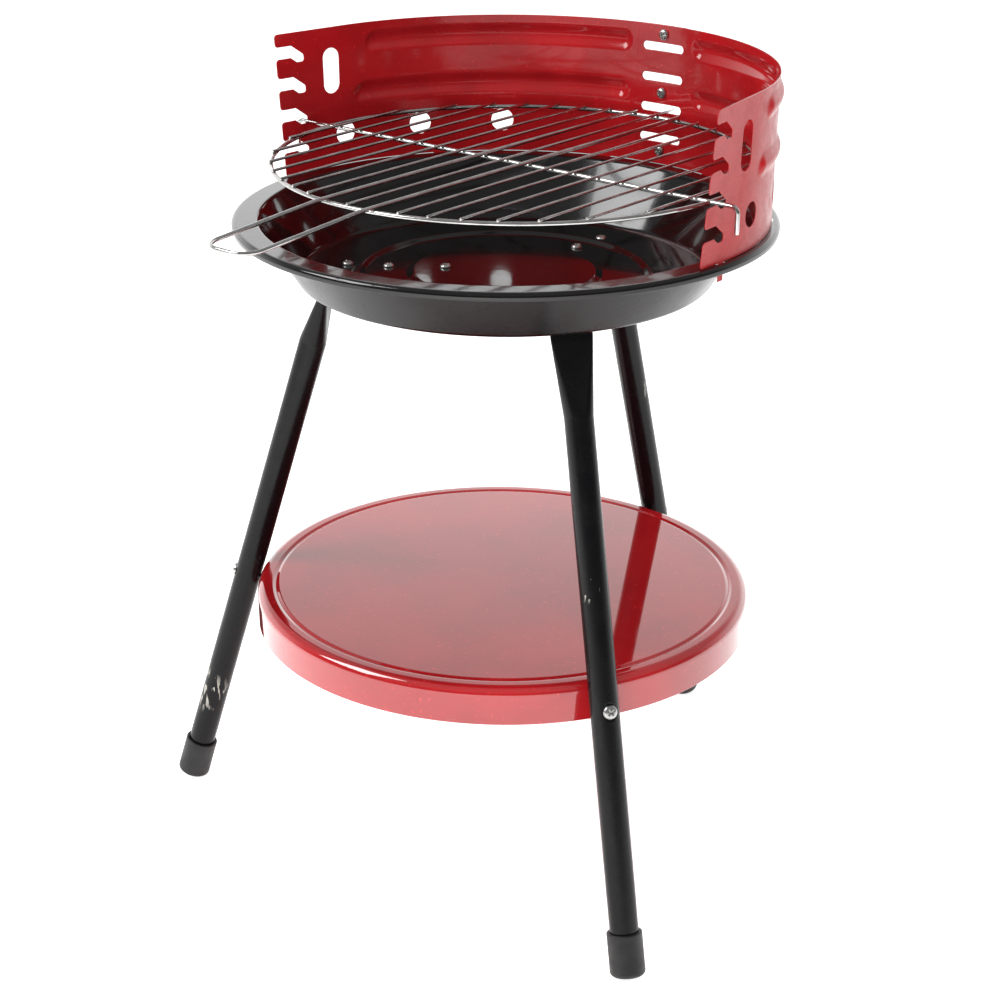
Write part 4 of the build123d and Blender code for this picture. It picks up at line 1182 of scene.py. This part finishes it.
# ---- stage ---------------------------------------------------------------------------------
def softbox(name, place, target, size, power, mirrored=True):
    """A large even area light that faces the target, and may be left out of mirror images."""
    light = bpy.data.lights.new(name, "AREA")
    light.shape = "RECTANGLE"
    light.size, light.size_y = size
    light.energy = power
    lamp = bpy.data.objects.new(name, light)
    lamp.location = place
    lamp.visible_glossy = mirrored
    lamp.rotation_euler = (Vector(target) - Vector(place)).to_track_quat("-Z", "Y").to_euler()
    bpy.context.scene.collection.objects.link(lamp)


class BBQ_OT_stage(bpy.types.Operator):
    """Pale floor, soft studio light and the camera"""
    bl_idname = "bbq.stage"
    bl_label = "Stage"

    def execute(self, context):
        scene = context.scene
        reach = np.linspace(-12, 12, 3)
        x, y = np.meshgrid(reach, reach, indexing="ij")
        points = np.stack([x, y, 0 * x - 0.0002], -1).reshape(-1, 3)
        mesh = bpy.data.meshes.new("stage_floor")
        mesh.from_pydata(points.tolist(), [], grid_faces(3, 3)[..., ::-1].reshape(-1, 4).tolist())
        pale, _, shader = finish("stage_floor", (0.86, 0.86, 0.86), 0.7, specular=0.2)
        shader.inputs["Emission Color"].default_value = (1, 1, 1, 1)
        shader.inputs["Emission Strength"].default_value = 0.7
        mesh.materials.append(pale)
        floor = bpy.data.objects.new("stage_floor", mesh)
        scene.collection.objects.link(floor)
        self.surround(scene)
        scene.view_settings.view_transform = "Standard"
        softbox("key_box", (-1.6, -1.9, 2.6), (0, 0, 0.35), (1.6, 1.6), 80)
        softbox("top_box", (0.2, 0.9, 2.8), (0, 0, 0.4), (2.2, 1.4), 45, mirrored=False)
        softbox("fill_box", (1.3, -2.4, 1.1), (0, 0, 0.45), (1.5, 1.5), 55, mirrored=False)
        self.camera(scene)
        return {"FINISHED"}

    def surround(self, scene):
        """White studio wall behind, a dim room in front and a grey ceiling, for the light and the mirror
        images only: the background itself is plain white."""
        world = bpy.data.worlds.new("studio")
        world.use_nodes = True
        tree = world.node_tree
        where = add(tree, "ShaderNodeTexCoord", (-900, 0))
        facing = add(tree, "ShaderNodeVectorMath", (-700, 0), operation="DOT_PRODUCT")
        facing.inputs[1].default_value = (-0.655, 0.756, 0)
        tree.links.new(where.outputs["Generated"], facing.inputs[0])
        parts = add(tree, "ShaderNodeSeparateXYZ", (-700, -200))
        tree.links.new(where.outputs["Generated"], parts.inputs[0])
        wall = window(tree, (-500, 0), facing.outputs["Value"], -0.05, 0.8)
        wall = math_node(tree, (-300, 0), "MULTIPLY_ADD", wall, 1.5)
        wall.node.inputs[2].default_value = 0.1
        above = window(tree, (-500, -200), parts.outputs["Z"], 0.25, 0.6)
        mixed = add(tree, "ShaderNodeMix", (-120, 0))
        mixed.inputs[3].default_value = 0.35
        tree.links.new(above, mixed.inputs[0])
        tree.links.new(wall, mixed.inputs[2])
        seen = add(tree, "ShaderNodeMix", (60, 0))
        seen.inputs[3].default_value = 1.0
        tree.links.new(add(tree, "ShaderNodeLightPath", (-120, 300)).outputs["Is Camera Ray"], seen.inputs[0])
        tree.links.new(mixed.outputs[0], seen.inputs[2])
        tree.links.new(seen.outputs[0], tree.nodes["Background"].inputs["Strength"])
        tree.nodes["Background"].inputs["Color"].default_value = (1, 1, 1, 1)
        scene.world = world

    def camera(self, scene):
        """Long lens from the front right, above the rim; the small shift only sets the framing."""
        data = bpy.data.cameras.new("camera")
        data.lens, data.sensor_width = 78.16, 36.0
        data.shift_x, data.shift_y = 0.0575, 0.0058
        data.clip_start, data.clip_end = 0.05, 60
        lens = bpy.data.objects.new("camera", data)
        turn = Matrix.Rotation(math.radians(40.92), 4, "Z")
        turn = turn @ Matrix.Rotation(math.radians(90 - 22.79), 4, "X")
        turn = turn @ Matrix.Rotation(math.radians(-0.17), 4, "Z")
        lens.matrix_world = Matrix.Translation((1.0292, -1.2616, 0.9593)) @ turn
        scene.collection.objects.link(lens)
        scene.camera = lens


class BBQ_PT_panel(bpy.types.Panel):
    """Lists the barbecue's pieces"""
    bl_idname = "BBQ_PT_panel"
    bl_label = "Charcoal barbecue"
    bl_space_type = "VIEW_3D"
    bl_region_type = "UI"
    bl_category = "Barbecue"

    def draw(self, context):
        for piece in PIECES:
            self.layout.operator(piece.bl_idname)


PIECES = (BBQ_OT_stage, BBQ_OT_fire_bowl, BBQ_OT_wind_screen, BBQ_OT_shelf, BBQ_OT_legs, BBQ_OT_foot_caps,
          BBQ_OT_fasteners, BBQ_OT_grate)
GROUPS = {"bbq_bowl": BBQ_BowlSizes, "bbq_screen": BBQ_ScreenSizes, "bbq_leg": BBQ_LegSizes,
          "bbq_shelf": BBQ_ShelfSizes, "bbq_grate": BBQ_GrateSizes, "bbq_colours": BBQ_Colours}


def register():
    for name, kind in GROUPS.items():
        bpy.utils.register_class(kind)
        setattr(bpy.types.Scene, name, bpy.props.PointerProperty(type=kind))
    for kind in (*PIECES, BBQ_PT_panel):
        bpy.utils.register_class(kind)


def unregister():
    for kind in (BBQ_PT_panel, *PIECES[::-1]):
        bpy.utils.unregister_class(kind)
    for name, kind in GROUPS.items():
        delattr(bpy.types.Scene, name)
        bpy.utils.unregister_class(kind)


def main():
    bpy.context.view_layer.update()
    register()
    for piece in PIECES:
        operator = getattr(bpy.ops.bbq, piece.bl_idname.split(".")[1])
        if operator() != {"FINISHED"}:
            raise RuntimeError(f"{piece.bl_label} wasn't made")


if __name__ == "__main__":
    main()
